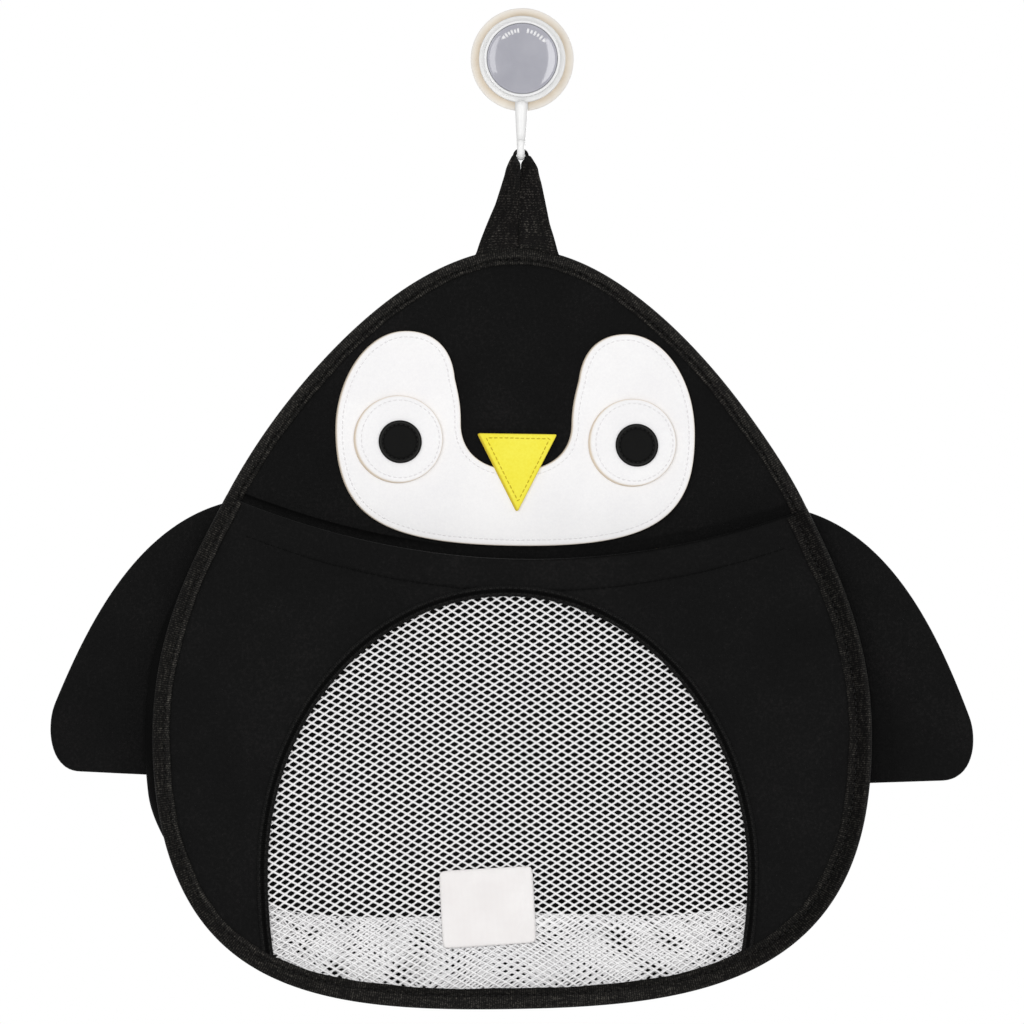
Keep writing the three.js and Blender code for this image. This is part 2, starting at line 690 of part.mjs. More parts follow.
const disc = (x, z, radius, count) => circle(count).map((p) => v2(x + radius * p.x, z + radius * p.y));
const eyeX = FACE_HALF_WIDTH - EYE_SIDE_IN;
const eyeZ = faceZ + EYE_RISE;
for (const [side, sign] of [['left', -1], ['right', 1]]) {
  const eye = disc(sign * eyeX, eyeZ, EYE_RADIUS, 32);
  const pupil = disc(sign * (eyeX + PUPIL_OUT), eyeZ - PUPIL_DOWN, PUPIL_RADIUS, 24);
  add(`${side}_eye`, plate(eye, EYE_FACE, EYE_FELT), WHITE_CLOTH, 0.85);
  add(`${side}_pupil`, plate(pupil, PUPIL_FACE, PUPIL_FELT), BLACK, 0.9);
}

const beakTopZ = faceZ + BEAK_RISE;
const beakCorners = [
  v2(-BEAK_HALF_WIDTH, beakTopZ),
  v2(BEAK_HALF_WIDTH, beakTopZ),
  v2(0, beakTopZ - BEAK_LENGTH),
];
const beakOutline = beakCorners.flatMap((corner, i) => {
  const toward = (other) => {
    const run = other.clone().sub(corner).normalize();
    return corner.clone().addScaledVector(run, BEAK_CORNER);
  };
  const before = toward(beakCorners[(i + 2) % 3]);
  const after = toward(beakCorners[(i + 1) % 3]);
  return new THREE.QuadraticBezierCurve(before, corner, after).getPoints(2);
});
add('beak', plate(beakOutline, EYE_FACE, EYE_FELT), YELLOW, 0.8);

// Window: an upright half ellipse above its centre and a slowly narrowing foot below it.
const windowZ = HEAD_TOP_Z - WINDOW_CENTRE_DROP;
const windowFootZ = HEAD_TOP_Z - WINDOW_FOOT_DROP;
const windowFootAngle = Math.asin((windowFootZ - windowZ) / WINDOW_FALL);

function windowPoint(t, out) {
  const angle = mix(Math.PI - windowFootAngle, windowFootAngle, t);
  const tall = Math.sin(angle) > 0 ? WINDOW_RISE : WINDOW_FALL;
  const p = v2(WINDOW_HALF_WIDTH * Math.cos(angle), windowZ + tall * Math.sin(angle));
  const normal = v2(Math.cos(angle) / WINDOW_HALF_WIDTH, Math.sin(angle) / tall).normalize();
  return p.addScaledVector(normal, out);
}

// Pocket panel: from the window's edge out to the seam on the sides and to the mouth above.
const mouthHalf = edge(mouthStation, PANEL_IN).x;
const mouthZ = (x) => edge(mouthStation, PANEL_IN).y - MOUTH_SAG * (1 - (x / mouthHalf) ** 2);
const sideCount = windowFootStation - mouthStation;
const mouthCount = 22;
const panelOuter = [
  ...span(-windowFootStation, -mouthStation).map((k) => edge(k, PANEL_IN)),
  ...steps(mouthCount).slice(1, -1).map((t) => {
    const x = mix(-mouthHalf, mouthHalf, t);
    return v2(x, mouthZ(x));
  }),
  ...span(mouthStation, windowFootStation).map((k) => edge(k, PANEL_IN)),
];
const SIDE_SHARE = 0.36;
const panelInner = panelOuter.map((_, i) => {
  const left = Math.min(i, sideCount) / sideCount;
  const middle = THREE.MathUtils.clamp((i - sideCount) / mouthCount, 0, 1);
  const right = Math.max(0, i - sideCount - mouthCount) / sideCount;
  return windowPoint(SIDE_SHARE * (left + right) + (1 - 2 * SIDE_SHARE) * middle, TRIM_OVERLAP);
});
const panelAt = (i, v) => panelInner[i].clone().lerp(panelOuter[i], v);
add('front_panel', sheet(
  panelOuter.map((_, i) => i),
  [0, 0.25, 0.5, 0.75, 0.92, 1],
  (i, v) => onPocket(panelAt(i, v), 0),
  (i, v) => onPocket(panelAt(i, v), NEOPRENE),
), BLACK, 0.9);

// Hem band sewn inside the mouth.
const hemHalf = mouthHalf - BINDING_WIDTH - 2;
const hemAt = (u, v) => {
  const x = mix(-hemHalf, hemHalf, u);
  return v2(x, mouthZ(x) - v * HEM_DEPTH);
};
const hemBack = NEOPRENE + HEM_GAP;
add('mouth_hem', sheet(
  steps(mouthCount),
  [0, 0.5, 1],
  (u, v) => onPocket(hemAt(u, v), hemBack),
  (u, v) => onPocket(hemAt(u, v), hemBack + HEM_CLOTH),
), BLACK, 0.9);

// Tape folded round the pocket's edge, from one end of the mouth to the other by way of the bottom.
const pocketTape = lowerRun(mouthStation).map((k) => tapeSection.map((s) => onPocket(edge(k, s.x), s.y)));
add('front_binding', loft(pocketTape, tapeSection), BLACK_TAPE, 0.8);

// Net: a sheet of diamonds in offset rows that fills the window and runs into the bottom binding.
const netBack = (NEOPRENE - NET_CLOTH) / 2;
const netOut = TRIM_OVERLAP - FIT_GAP;
const netFoot = windowPoint(1, netOut);
const netArch = steps(44).map((t) => windowPoint(t, netOut));
const netBottom = span(windowFootStation, lastStation).concat(span(1 - lastStation, -windowFootStation))
  .map((k) => edge(k, PANEL_IN + FIT_GAP))
  .filter((p) => Math.abs(p.x) < netFoot.x - 1);
const netOutline = [...netArch, ...netBottom];
const netShape = new THREE.Shape(netOutline);

function insideNet(p, margin) {
  const rise = (p.y - windowZ) / ((p.y > windowZ ? WINDOW_RISE : WINDOW_FALL) - margin);
  const wide = p.x / (WINDOW_HALF_WIDTH - margin);
  const bottom = edge(lastStation, BINDING_WIDTH + margin).y;
  const half = halfWidth(p.y - BINDING_WIDTH - margin);
  return rise ** 2 + wide ** 2 < 1 && p.y > bottom && Math.abs(p.x) < half;
}
const holeHalfX = (NET_PITCH_X - NET_STRAND) / 2;
const holeHalfZ = (NET_PITCH_Z - NET_STRAND) / 2;
const netRows = Math.ceil(2 * (WINDOW_RISE + BODY_HEIGHT - WINDOW_CENTRE_DROP) / NET_PITCH_Z);
const netColumns = Math.ceil(WINDOW_HALF_WIDTH / NET_PITCH_X);
for (let row = 0; row < netRows; row += 1) {
  const z = windowZ + WINDOW_RISE - NET_PITCH_Z * (row + 1) / 2;
  for (let column = -netColumns; column <= netColumns; column += 1) {
    const x = (column + (row % 2) / 2) * NET_PITCH_X;
    const hole = [v2(x + holeHalfX, z), v2(x, z + holeHalfZ), v2(x - holeHalfX, z), v2(x, z - holeHalfZ)];
    if (hole.every((p) => insideNet(p, NET_STRAND))) netShape.holes.push(new THREE.Path(hole));
  }
}
const netFlat = new THREE.ExtrudeGeometry(netShape, { depth: NET_CLOTH, bevelEnabled: false });
const netPoints = netFlat.attributes.position;
for (let i = 0; i < netPoints.count; i += 1) {
  const p = onPocket(v2(netPoints.getX(i), netPoints.getY(i)), netBack + netPoints.getZ(i));
  netPoints.setXYZ(i, p.x, p.y, p.z);
}
add('front_mesh', welded(netFlat), WHITE_CLOTH, 0.8);

// Trim tape over the joint of net and panel, cut off at the bottom binding.
const trimStrip = sheet(
  steps(44),
  [0, 1],
  (u, v) => onPocket(windowPoint(u, v * TRIM_WIDTH), -FIT_GAP - TAPE),
  (u, v) => onPocket(windowPoint(u, v * TRIM_WIDTH), -FIT_GAP),
);
const insideBinding = plate(wholeEdge(BINDING_WIDTH + FIT_GAP), 2 * POCKET_DEPTH, 2 * POCKET_DEPTH);
add('window_trim', common(trimStrip, insideBinding), BLACK_TAPE, 0.8);

// Label sewn to the net.
const labelBack = netBack - FIT_GAP;
const labelAt = (u, v) => v2(
  LABEL_X + (u - 0.5) * LABEL_WIDTH,
  BOTTOM_Z + LABEL_RISE + (0.5 - v) * LABEL_HEIGHT,
);
add('blank_label', sheet(
  steps(4),
  steps(3),
  (u, v) => onPocket(labelAt(u, v), labelBack - LABEL_CLOTH),
  (u, v) => onPocket(labelAt(u, v), labelBack),
), WHITE_CLOTH, 0.7);

// Side gussets: plain cloth walls between the two bindings.
const gussetRear = BACK_BINDING_FACE + FIT_GAP;
const gussetFront = (p) => pocketDepth(p.x, p.y) - NEOPRENE - 2 * FIT_GAP - TAPE;
for (const [side, sign] of [['left', -1], ['right', 1]]) {
  const wall = (inset) => (k, v) => {
    const p = edge(sign * k, inset);
    return new THREE.Vector3(p.x, -mix(gussetRear, gussetFront(p), v), p.y);
  };
  const run = span(mouthStation + 1, netGussetStation);
  const sideWall = sheet(run, [0, 1], wall(GUSSET_SEAM_IN), wall(GUSSET_SEAM_IN + GUSSET_CLOTH));
  add(`${side}_gusset`, sideWall, BLACK, 0.9);
}

// Drain gusset: a net strip round the bottom, folded up into the pouch along its middle.
const drainRun = lowerRun(netGussetStation);
const foldShare = (i) => Math.sin(Math.PI * i / (drainRun.length - 1)) ** 0.8;
function drainPoint(i, v, inner) {
  const k = drainRun[i];
  const seam = edge(k, GUSSET_SEAM_IN);
  const wide = gussetFront(seam) - gussetRear;
  const fold = FOLD_HEIGHT * foldShare(i);
  const steep = Math.hypot(1, 2 * fold / wide);
  const tent = 1 - Math.abs(2 * v - 1);
  const p = edge(k, GUSSET_SEAM_IN + fold * tent + (inner ? NET_CLOTH * steep : 0));
  const end = i === 0 || i === drainRun.length - 1 ? FIT_GAP : 0;
  return new THREE.Vector3(p.x, -mix(gussetRear, gussetFront(seam), v), p.y - end);
}
add('drain_gusset', sheet(
  drainRun.map((_, i) => i),
  [0, 0.25, 0.47, 0.53, 0.75, 1],
  (i, v) => drainPoint(i, v, false),
  (i, v) => drainPoint(i, v, true),
), WHITE_CLOTH, 0.8);

// Fins: flat neoprene flaps, each folding along a line outside the pouch's bulge.
const finTop = edge(mouthStation, -FIT_GAP);
const finFoot = edge(finFootStation, -FIT_GAP);
const finTip = v2(BODY_HALF_WIDTH + FIN_TIP_OUT, HEAD_TOP_Z - FIN_TIP_DROP);
const finCorner = v2(BODY_HALF_WIDTH + FIN_CORNER_OUT, HEAD_TOP_Z - FIN_CORNER_DROP);
const finEdge = new THREE.Path();
finEdge.moveTo(finTop.x, finTop.y);
finEdge.bezierCurveTo(
  mix(finTop.x, finTip.x, 0.47), mix(finTop.y, finTip.y, 0.16),
  mix(finTop.x, finTip.x, 0.8), mix(finTop.y, finTip.y, 0.59),
  finTip.x, finTip.y,
);
finEdge.bezierCurveTo(
  finTip.x + FIN_TIP_SWELL, finTip.y - 3 * FIN_TIP_SWELL,
  finTip.x + FIN_TIP_SWELL / 2, finCorner.y,
  finCorner.x, finCorner.y,
);
finEdge.lineTo(finFoot.x, finFoot.y);
const finInner = span(finFootStation - 1, mouthStation + 1).map((k) => edge(k, -FIT_GAP));
const finOutline = [...finEdge.getPoints(9), ...finInner];
const foldRun = finFoot.clone().sub(finTop).normalize();
const foldOut = v2(-foldRun.y, foldRun.x);
const bulge = Math.max(...finInner.map((p) => p.clone().sub(finTop).dot(foldOut)));
const foldPoint = finTop.clone().addScaledVector(foldOut, bulge + FIN_FOLD_CLEARANCE);

// A slab on one side of the fold line, cut back by half a fit gap.
function foldSide(direction) {
  const reach = 200;
  const near = foldPoint.clone().addScaledVector(foldOut, direction * FIT_GAP / 2);
  const a = near.clone().addScaledVector(foldRun, -reach);
  const b = near.clone().addScaledVector(foldRun, reach);
  const c = b.clone().addScaledVector(foldOut, direction * reach);
  const d = a.clone().addScaledVector(foldOut, direction * reach);
  return plate([a, b, c, d], BACK_FACE + 1, NEOPRENE + 2);
}
const finPlate = plate(finOutline, BACK_FACE, NEOPRENE);
const finPieces = [['fin_root', common(finPlate, foldSide(-1))], ['fin', common(finPlate, foldSide(1))]];
for (const [name, geometry] of finPieces) {
  add(`right_${name}`, geometry, BLACK, 0.9);
  add(`left_${name}`, welded(geometry.clone().scale(-1, 1, 1)), BLACK, 0.9);
}

export default root;
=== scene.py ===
from math import acos, asin, pi, radians, tan

import bmesh
import bpy
import numpy as np
from mathutils import Matrix, Vector
from numpy import array, clip, cos, exp, interp, linspace, maximum, minimum, roll, sin, sqrt, stack, where
from numpy.linalg import norm


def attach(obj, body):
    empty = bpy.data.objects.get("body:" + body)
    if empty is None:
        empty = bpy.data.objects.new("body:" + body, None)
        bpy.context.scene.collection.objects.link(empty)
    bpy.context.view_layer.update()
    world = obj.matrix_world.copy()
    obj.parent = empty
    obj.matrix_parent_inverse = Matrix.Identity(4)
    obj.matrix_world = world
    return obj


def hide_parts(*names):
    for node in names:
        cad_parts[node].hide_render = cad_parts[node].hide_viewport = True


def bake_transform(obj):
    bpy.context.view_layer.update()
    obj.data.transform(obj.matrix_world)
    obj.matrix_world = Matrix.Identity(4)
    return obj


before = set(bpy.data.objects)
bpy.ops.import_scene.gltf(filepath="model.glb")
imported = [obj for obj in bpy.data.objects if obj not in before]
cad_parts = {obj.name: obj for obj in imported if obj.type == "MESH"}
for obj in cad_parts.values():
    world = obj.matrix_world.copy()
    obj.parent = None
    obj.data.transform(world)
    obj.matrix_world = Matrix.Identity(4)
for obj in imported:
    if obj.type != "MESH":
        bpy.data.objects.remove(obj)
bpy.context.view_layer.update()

# Lengths are in millimetres and become metres when a mesh is made. X is right, Y into the wall, Z up; depths
# count forward from the wall. Sizes follow the CAD model, and the photograph where the sewn pouch leans.
MM = 0.001
WELD = 0.002
FIT, TAPE, NEOPRENE = 0.3, 0.8, 3.0
BINDING, BINDING_LIP, HEAD_TAPE, HEAD_LIP = 10.0, 3.4, 7.2, 2.2
HEAD_Z, BOTTOM_Z, MOUTH_Z = -86.3, -432.4, -200.5
SHOULDER, HIP = array([131.0, -199.0]), array([163.8, -308.5])
SHOULDER_SLOPE = radians(62.8)
HEAD_PULL, SHOULDER_PULL, HIP_RISE, HIP_FALL, BOTTOM_PULL = 57, 38, 45, 115, 87
SAG_TILT, SAG_SHIFT, HEAD_SHIFT = 0.031, 1.4, 0.5
BACK_FACE, BACK_CENTRE = 4.1, array([0.0, -270.0])
PATCH_FACE, PATCH_FELT, PATCH_SEAM = 6.0, 1.6, 2.7
EYE_FACE, EYE_FELT, EYE_SEAM, EYE_RADIUS, EYE_OUT, EYE_Z, EYE_DRIFT = 7.7, 1.4, 2.2, 19.9, 53.4, -174.0, 0.6
PUPIL_FACE, PUPIL_FELT, PUPIL_SEAM, PUPIL_RADIUS, PUPIL_OUT, PUPIL_Z = 9.0, 1.0, 1.9, 9.8, 54.0, -175.3
PUPIL_SHIFT, BEAK_SEAM = 1.2, 2.1
FACE_Z = -187.5
POCKET_TOP, POCKET_LOW, POCKET_BELLY = 9.6, 44.0, 16.0
PANEL_IN = 1.1
MOUTH_SAG, HEM_DEPTH, HEM_SEAM, HEM_END = 25.5, 16.0, 14.6, 12.0
WINDOW_Z, WINDOW_HALF, WINDOW_RISE, WINDOW_FALL, WINDOW_FOOT_Z = -370.0, 109.0, 125.0, 165.0, -412.0
WINDOW_SHIFT, WINDOW_SEAM = -1.9, 3.0
NET_PITCH_X, NET_PITCH_Z, NET_STRAND, NET_BACK = 5.7, 3.56, 0.92, 1.5
GUSSET_IN, GUSSET_CLOTH, GUSSET_REAR, SEAM_LAP = 2.5, 2.0, 5.5, 0.8
FOLD_HEIGHT, NET_GUSSET_Z, DRAIN_STRAND, DRAIN_FLAT = 42.0, -344.0, 1.1, 0.4
LABEL_AT, LABEL_WIDE, LABEL_TALL, LABEL_TIP = array([-11.0, -386.0]), 42.5, 35.0, radians(3.1)
FIN_FOOT_Z, FIN_TIP, FIN_CORNER = -328.5, array([209.3, -298.0]), array([197.0, -327.3])
FIN_HALF, FIN_EDGE, FIN_DEPTH = 1.5, 1.3, 2.6
FIN_POINT, FIN_OUT = array([163.164, -266.0]), array([0.971611, 0.236586])
BORE, SEAT_Z, SEAT_DEPTH = 3.1, -44.5, 16.35
STEM_DEPTH, STEM_TOP, TIP_DEPTH, TIP_Z = 8.2, -18.6, 24.5, -38.5
BEND, STEM_RADIUS, TIP_RADIUS = 3.0, 3.0, 1.75
CAM_FLOOR, CAM_LOW, CAM_TOP, CAM_LIFT = 11.45, 11.65, 14.7, 3.0
CAP_RIM, CAP_EDGE, CAP_SLOPE, CAP_POWER, DIAL_RADIUS = 22.3, 15.0, tan(radians(17)), 3.1, 12.8
STRAP_CLOTH, STRAP_BASE_Z, STRAP_BASE_DEPTH, STRAP_TOP_WIDTH, ARCH = 1.6, -86.7, 2.6, 10.4, 2.85


# Small maths

def mix(a, b, t):
    return a + (b - a) * t


def smooth(a, b, x):
    t = clip((x - a) / (b - a), 0, 1)
    return t * t * (3 - 2 * t)


def points(*axes):
    """Points from coordinates, as arrays or single numbers."""
    return stack(np.broadcast_arrays(*axes), -1)


def at_depth(flat, depth):
    """Flat points, as X and Z, at a depth in front of the wall."""
    return points(flat[..., 0], -depth, flat[..., 1])


def unit(v):
    return v / norm(v, axis=-1, keepdims=True)


def full_turn(count):
    return linspace(0, 2 * pi, count, endpoint=False)


def bezier(p0, p1, p2, p3, count):
    t = linspace(0, 1, count)[:, None]
    return (1 - t) ** 3 * p0 + 3 * (1 - t) ** 2 * t * p1 + 3 * (1 - t) * t ** 2 * p2 + t ** 3 * p3


def join(*parts, axis=0):
    return np.concatenate(parts, axis)


def chain(*curves):
    return join(curves[0], *(c[1:] for c in curves[1:]))


def lengths(line):
    return join([0], np.cumsum(norm(np.diff(line, axis=0), axis=1)))


def follow(line, run, at):
    """Points of a line at places along it; run is each of its own points' place."""
    return points(*(interp(at, run, axis) for axis in line.T))


def resample(line, count):
    run = lengths(line)
    return follow(line, run, linspace(0, run[-1], count))


def ripple(a, b=0.0, seed=0.0):
    """A smooth uneven wave between about -1 and 1."""
    return (sin(a / 17.0 + b / 29.0 + seed) + 0.6 * sin(a / 7.3 - b / 13.0 + 2.1 * seed)
            + 0.4 * sin(b / 9.1 + a / 31.0 + 3.7 * seed)) / 2


def inside(flat, outline):
    """Even-odd test of many points against one closed outline."""
    x, z = flat[:, :1], flat[:, 1:]
    (ax, az), (bx, bz) = outline.T, roll(outline, -1, axis=0).T
    crosses = (az > z) != (bz > z)
    at = (bx - ax) * (z - az) / where(bz == az, 1e-9, bz - az) + ax
    return (crosses & (x < at)).sum(1) % 2 == 1


# The pouch's outline and the pocket's surface

run = array([cos(SHOULDER_SLOPE), -sin(SHOULDER_SLOPE)]) * SHOULDER_PULL
half_outline = chain(
    bezier((0, HEAD_Z), (HEAD_PULL, HEAD_Z), SHOULDER - run, SHOULDER, 260),
    bezier(SHOULDER, SHOULDER + run, HIP + [0, HIP_RISE], HIP, 260),
    bezier(HIP, HIP - [0, HIP_FALL], (BOTTOM_PULL, BOTTOM_Z), (0, BOTTOM_Z), 260),
)
half_run = lengths(half_outline)
HALF = half_run[-1]
along = np.gradient(half_outline, half_run, axis=0)
along[0], along[-1] = (1, 0), (-1, 0)
along = unit(along)
half_inward = points(along[:, 1], -along[:, 0])


def place_at(z):
    """Distance down the outline from the head's top to a height."""
    return interp(-z, -half_outline[:, 1], half_run)


def half_width(z):
    return interp(-z, -half_outline[:, 1], half_outline[:, 0])


def rim(s, inset):
    """Points on the outline at distance s from the head's top, moved inward; negative s is the left side."""
    s, inset = np.broadcast_arrays(s, inset)
    a = abs(s)
    p = follow(half_outline, half_run, a) + follow(half_inward, half_run, a) * inset[..., None]
    return p * points(where(s < 0, -1, 1), 1)


def low_rim(w, inset):
    """The same from the bottom's middle: negative w is the left side."""
    return rim(where(w < 0, -1, 1) * (HALF - abs(w)), inset)


def settle(verts):
    """How the soft pouch hangs: its left side sags, its right side rides up and its head leans."""
    x, y, z = np.moveaxis(verts, -1, 0)
    low, high = smooth(-300, -433, z), smooth(-200, -160, z)
    lean = SAG_SHIFT * low - HEAD_SHIFT * high * smooth(20, 60, abs(x))
    return points(x + lean, y, z + SAG_TILT * x * low)


def pocket_depth(flat):
    x, z = flat[..., 0], flat[..., 1]
    fall = clip((MOUTH_Z - z) / (MOUTH_Z - BOTTOM_Z), 0, 1)
    across = maximum(0, 1 - (x / maximum(half_width(z), 1e-3)) ** 2)
    sway = 0.35 * ripple(x * 0.6, z * 0.8, 0.4) * smooth(0.05, 0.4, fall)
    return mix(POCKET_TOP, POCKET_LOW, fall) + POCKET_BELLY * (1 - fall) * across + sway


def on_pocket(flat, back):
    """Points on the pocket's face, moved back from it."""
    return at_depth(flat, pocket_depth(flat) - back)


mouth_place = place_at(MOUTH_Z)
left_mouth, right_mouth = place_at(MOUTH_Z - 0.3), place_at(MOUTH_Z - 2.5)
left_corner, right_corner = rim(-left_mouth, PANEL_IN), rim(right_mouth, PANEL_IN)
MOUTH_HALF = float(right_corner[0] - left_corner[0]) / 2
MOUTH_LEAN = float(right_corner[1] - left_corner[1]) / (2 * MOUTH_HALF)
MOUTH_LOW = float(left_corner[1] + right_corner[1]) / 2 - MOUTH_SAG


def mouth_z(x):
    """Height of the pocket's edge, which sags in the middle and leans a little to the right."""
    return MOUTH_LOW + MOUTH_LEAN * x + MOUTH_SAG * (x / MOUTH_HALF) ** 2


foot_angle = asin((WINDOW_FOOT_Z - WINDOW_Z) / WINDOW_FALL)


def window(t, out):
    """The window's edge from its left foot over the top to its right foot, moved outward."""
    t, out = np.broadcast_arrays(t, out)
    angle = mix(pi - foot_angle, foot_angle, t)
    tall = where(sin(angle) > 0, WINDOW_RISE, WINDOW_FALL)
    outward = unit(points(cos(angle) / WINDOW_HALF, sin(angle) / tall))
    edge = points(WINDOW_SHIFT + WINDOW_HALF * cos(angle), WINDOW_Z + tall * sin(angle))
    return edge + outward * out[..., None]


# Materials

def linear(colour):
    """A screen colour up to 255, as one grey or as red, green and blue, for a shader."""
    rgb = np.broadcast_to(np.asarray(colour) / 255, 3)
    return (*where(rgb <= 0.04045, rgb / 12.92, ((rgb + 0.055) / 1.055) ** 2.4), 1.0)


class Nodes:
    """The node tree of a material or a world."""

    def __init__(self, owner):
        owner.use_nodes = True
        self.tree = owner.node_tree
        self.tree.nodes.clear()

    def feed(self, socket, value):
        if isinstance(value, bpy.types.NodeSocket):
            self.tree.links.new(value, socket)
        else:
            socket.default_value = value

    def node(self, kind, values=None, **settings):
        n = self.tree.nodes.new("ShaderNode" + kind)
        for key, value in settings.items():
            setattr(n, key, value)
        for key, value in (values or {}).items():
            self.feed(n.inputs[key], value)
        return n

    def math(self, operation, *values):
        return self.node("Math", dict(enumerate(values)), operation=operation).outputs[0]


class Shader(Nodes):
    """One material, with short calls for the nodes that the surfaces use."""

    def __init__(self, name, **fixed):
        self.material = bpy.data.materials.new("look_" + name)
        super().__init__(self.material)
        self.bsdf = self.node("BsdfPrincipled")
        self.node("OutputMaterial", {"Surface": self.bsdf.outputs[0]})
        self.place = self.node("TexCoord").outputs["Object"]
        self.normal = None
        self.set(**fixed)

    def set(self, **sockets):
        for name, value in sockets.items():
            self.feed(self.bsdf.inputs[name.replace("_", " ")], value)

    def noise(self, scale, detail=3.0, rough=0.55, vector=None):
        values = {"Vector": vector or self.place, "Scale": scale, "Detail": detail, "Roughness": rough}
        return self.node("TexNoise", values).outputs["Fac"]

    def bands(self, axis, period, distortion=0.0, detail=0.0, detail_scale=1.0, vector=None):
        """Bands across an axis; period is their spacing in millimetres."""
        values = {"Vector": vector or self.place, "Scale": 2 * pi / (20 * period * MM),
                  "Distortion": distortion, "Detail": detail, "Detail Scale": detail_scale}
        return self.node("TexWave", values, wave_type="BANDS", bands_direction=axis).outputs["Fac"]

    def mapped(self, vector, **values):
        return self.node("Mapping", {"Vector": vector, **values}).outputs[0]

    def total(self, *parts):
        """The sum of some values, each times its weight."""
        out = 0.0
        for value, weight in parts:
            out = self.math("MULTIPLY_ADD", value, weight, out)
        return out

    def ramp(self, fac, *stops):
        n = self.node("ValToRGB", {"Fac": fac})
        elements = n.color_ramp.elements
        while len(elements) < len(stops):
            elements.new(0.5)
        for element, (position, colour) in zip(elements, stops):
            element.position, element.color = position, linear(colour)
        return n.outputs["Color"]

    def blend(self, fac, colour, tone):
        """A colour that goes to a plain tone where fac is one."""
        return self.node("Mix", {0: fac, 6: colour, 7: linear(tone)}, data_type="RGBA").outputs[2]

    def mark(self, name):
        return self.node("Attribute", attribute_name=name).outputs["Fac"]

    def ranged(self, value, low, high, start=0.0, end=1.0):
        """Goes from low, where the value is start, to high, where it is end."""
        values = {"Value": value, "From Min": start, "From Max": end, "To Min": low, "To Max": high}
        return self.node("MapRange", values).outputs[0]

    def darkened(self, mark, colour, tone, **gloss):
        """Paints shade: sets a colour that goes to a tone where mark is one, and gloss that goes to nothing
        there.
        """
        self.set(Base_Color=self.blend(mark, colour, tone))
        self.set(**{name: self.ranged(mark, value, 0.0) for name, value in gloss.items()})

    def bump(self, height, strength, distance):
        values = {"Height": height, "Strength": strength, "Distance": distance * MM}
        if self.normal:
            values["Normal"] = self.normal
        self.normal = self.node("Bump", values).outputs[0]
        self.set(Normal=self.normal)


def neoprene(name="neoprene", mouth=False):
    """Knit-faced foam rubber, darkened by painted shade where its points are marked; with mouth, also painted
    shade on the back panel's front face above the pocket's edge.
    """
    s = Shader(name, Sheen_Roughness=0.5)
    knit = s.math("MULTIPLY", s.bands("X", 1.05, 1.6, 2.0, 0.6), s.bands("Z", 1.3, 1.2, 2.0, 0.6))
    fleck = s.noise(700, 3, 0.7)
    tone = s.total((s.noise(26, 4), 0.35), (fleck, 0.65))
    dark = s.mark("cut")
    # Painted shade above the pocket's edge, on the front face only: a soft band on the right and a thin band
    # with a sharp top on the left
    if mouth:
        x, y, z = s.node("SeparateXYZ", {0: s.place}).outputs
        sag = s.math("MULTIPLY", x, x), MOUTH_SAG / MOUTH_HALF ** 2 / MM
        above = s.math("SUBTRACT", z, s.math("ADD", s.total(sag, (x, MOUTH_LEAN)), MOUTH_LOW * MM))
        near = s.ranged(above, 0, 1, 6.6 * MM, 4.8 * MM)
        right = s.ranged(x, 0, 0.24, -20 * MM, 70 * MM)
        upper, lower = s.ranged(above, 0, 1, 4.7 * MM, 4.2 * MM), s.ranged(above, 0, 0.7, 0.3 * MM, 4 * MM)
        left = s.ranged(x, 0, 1, -15 * MM, -60 * MM)
        band = s.math("MULTIPLY", s.math("MULTIPLY", upper, lower), left)
        shade = s.math("MAXIMUM", s.math("MULTIPLY", near, right), band)
        dark = s.math("MULTIPLY", shade, s.ranged(y, 0, 1, -2.0 * MM, -2.6 * MM))
    colour = s.ramp(tone, (0.3, 9), (0.52, 16), (0.74, (29, 28, 28)))
    s.darkened(dark, colour, 3, Sheen_Weight=0.03, Specular_IOR_Level=0.09)
    s.set(Roughness=s.ranged(fleck, 0.82, 0.97))
    s.bump(knit, 0.22, 0.25)
    s.bump(fleck, 0.2, 0.2)
    return s.material


def tape(name, period, middle, pale, ribbed=0.3):
    """Woven tape: ribs across its run, a fine twill over them and streaks along it; where its points are
    marked, painted shade darkens it.
    """
    s = Shader(name, Sheen_Roughness=0.4)
    flat = s.node("UVMap", uv_map="run").outputs["UV"]
    ribs = s.bands("X", period, 0.8, 1.0, 2.0, flat)
    twill = s.bands("X", period * 0.62, 0.5, vector=s.mapped(flat, Rotation=(0, 0, radians(34))))
    weave = s.total((ribs, 0.6), (twill, 0.4))
    fleck = s.noise(1100, 2, 0.7)
    streak = s.noise(800, 2, vector=s.mapped(flat, Scale=(0.16, 1, 1)))
    tone = s.total((weave, ribbed), (fleck, 0.75 - ribbed), (streak, 0.25))
    colour = s.ramp(tone, (0.3, 6), (0.54, middle), (0.74, pale))
    s.darkened(s.mark("cut"), colour, 3, Sheen_Weight=0.03, Specular_IOR_Level=0.1)
    s.set(Roughness=s.ranged(fleck, 0.65, 0.9))
    s.bump(weave, 0.15 + ribbed, 0.3)
    s.bump(fleck, 0.4, 0.3)
    return s.material


def felt(name, low, high, cut, sheen=0.05, shine=0.15, ring_highlight=None):
    """Felt whose cut edge goes to a darker tone, as painted shade; a last tone, if given, paints a highlight:
    a lighter ring inside that edge.
    """
    s = Shader(name, Sheen_Weight=sheen)
    cloud, fibre = s.noise(40, 4), s.noise(1100, 3, 0.65)
    face = s.ramp(s.total((cloud, 0.5), (fibre, 0.5)), (0.35, low), (0.65, high))
    if ring_highlight:
        face = s.blend(s.mark("rim"), face, ring_highlight)
    s.darkened(s.mark("cut"), face, cut, Specular_IOR_Level=shine)
    s.set(Roughness=s.ranged(fibre, 0.7, 0.92))
    s.bump(fibre, 0.14, 0.25)
    s.bump(cloud, 0.1, 0.6)
    return s.material


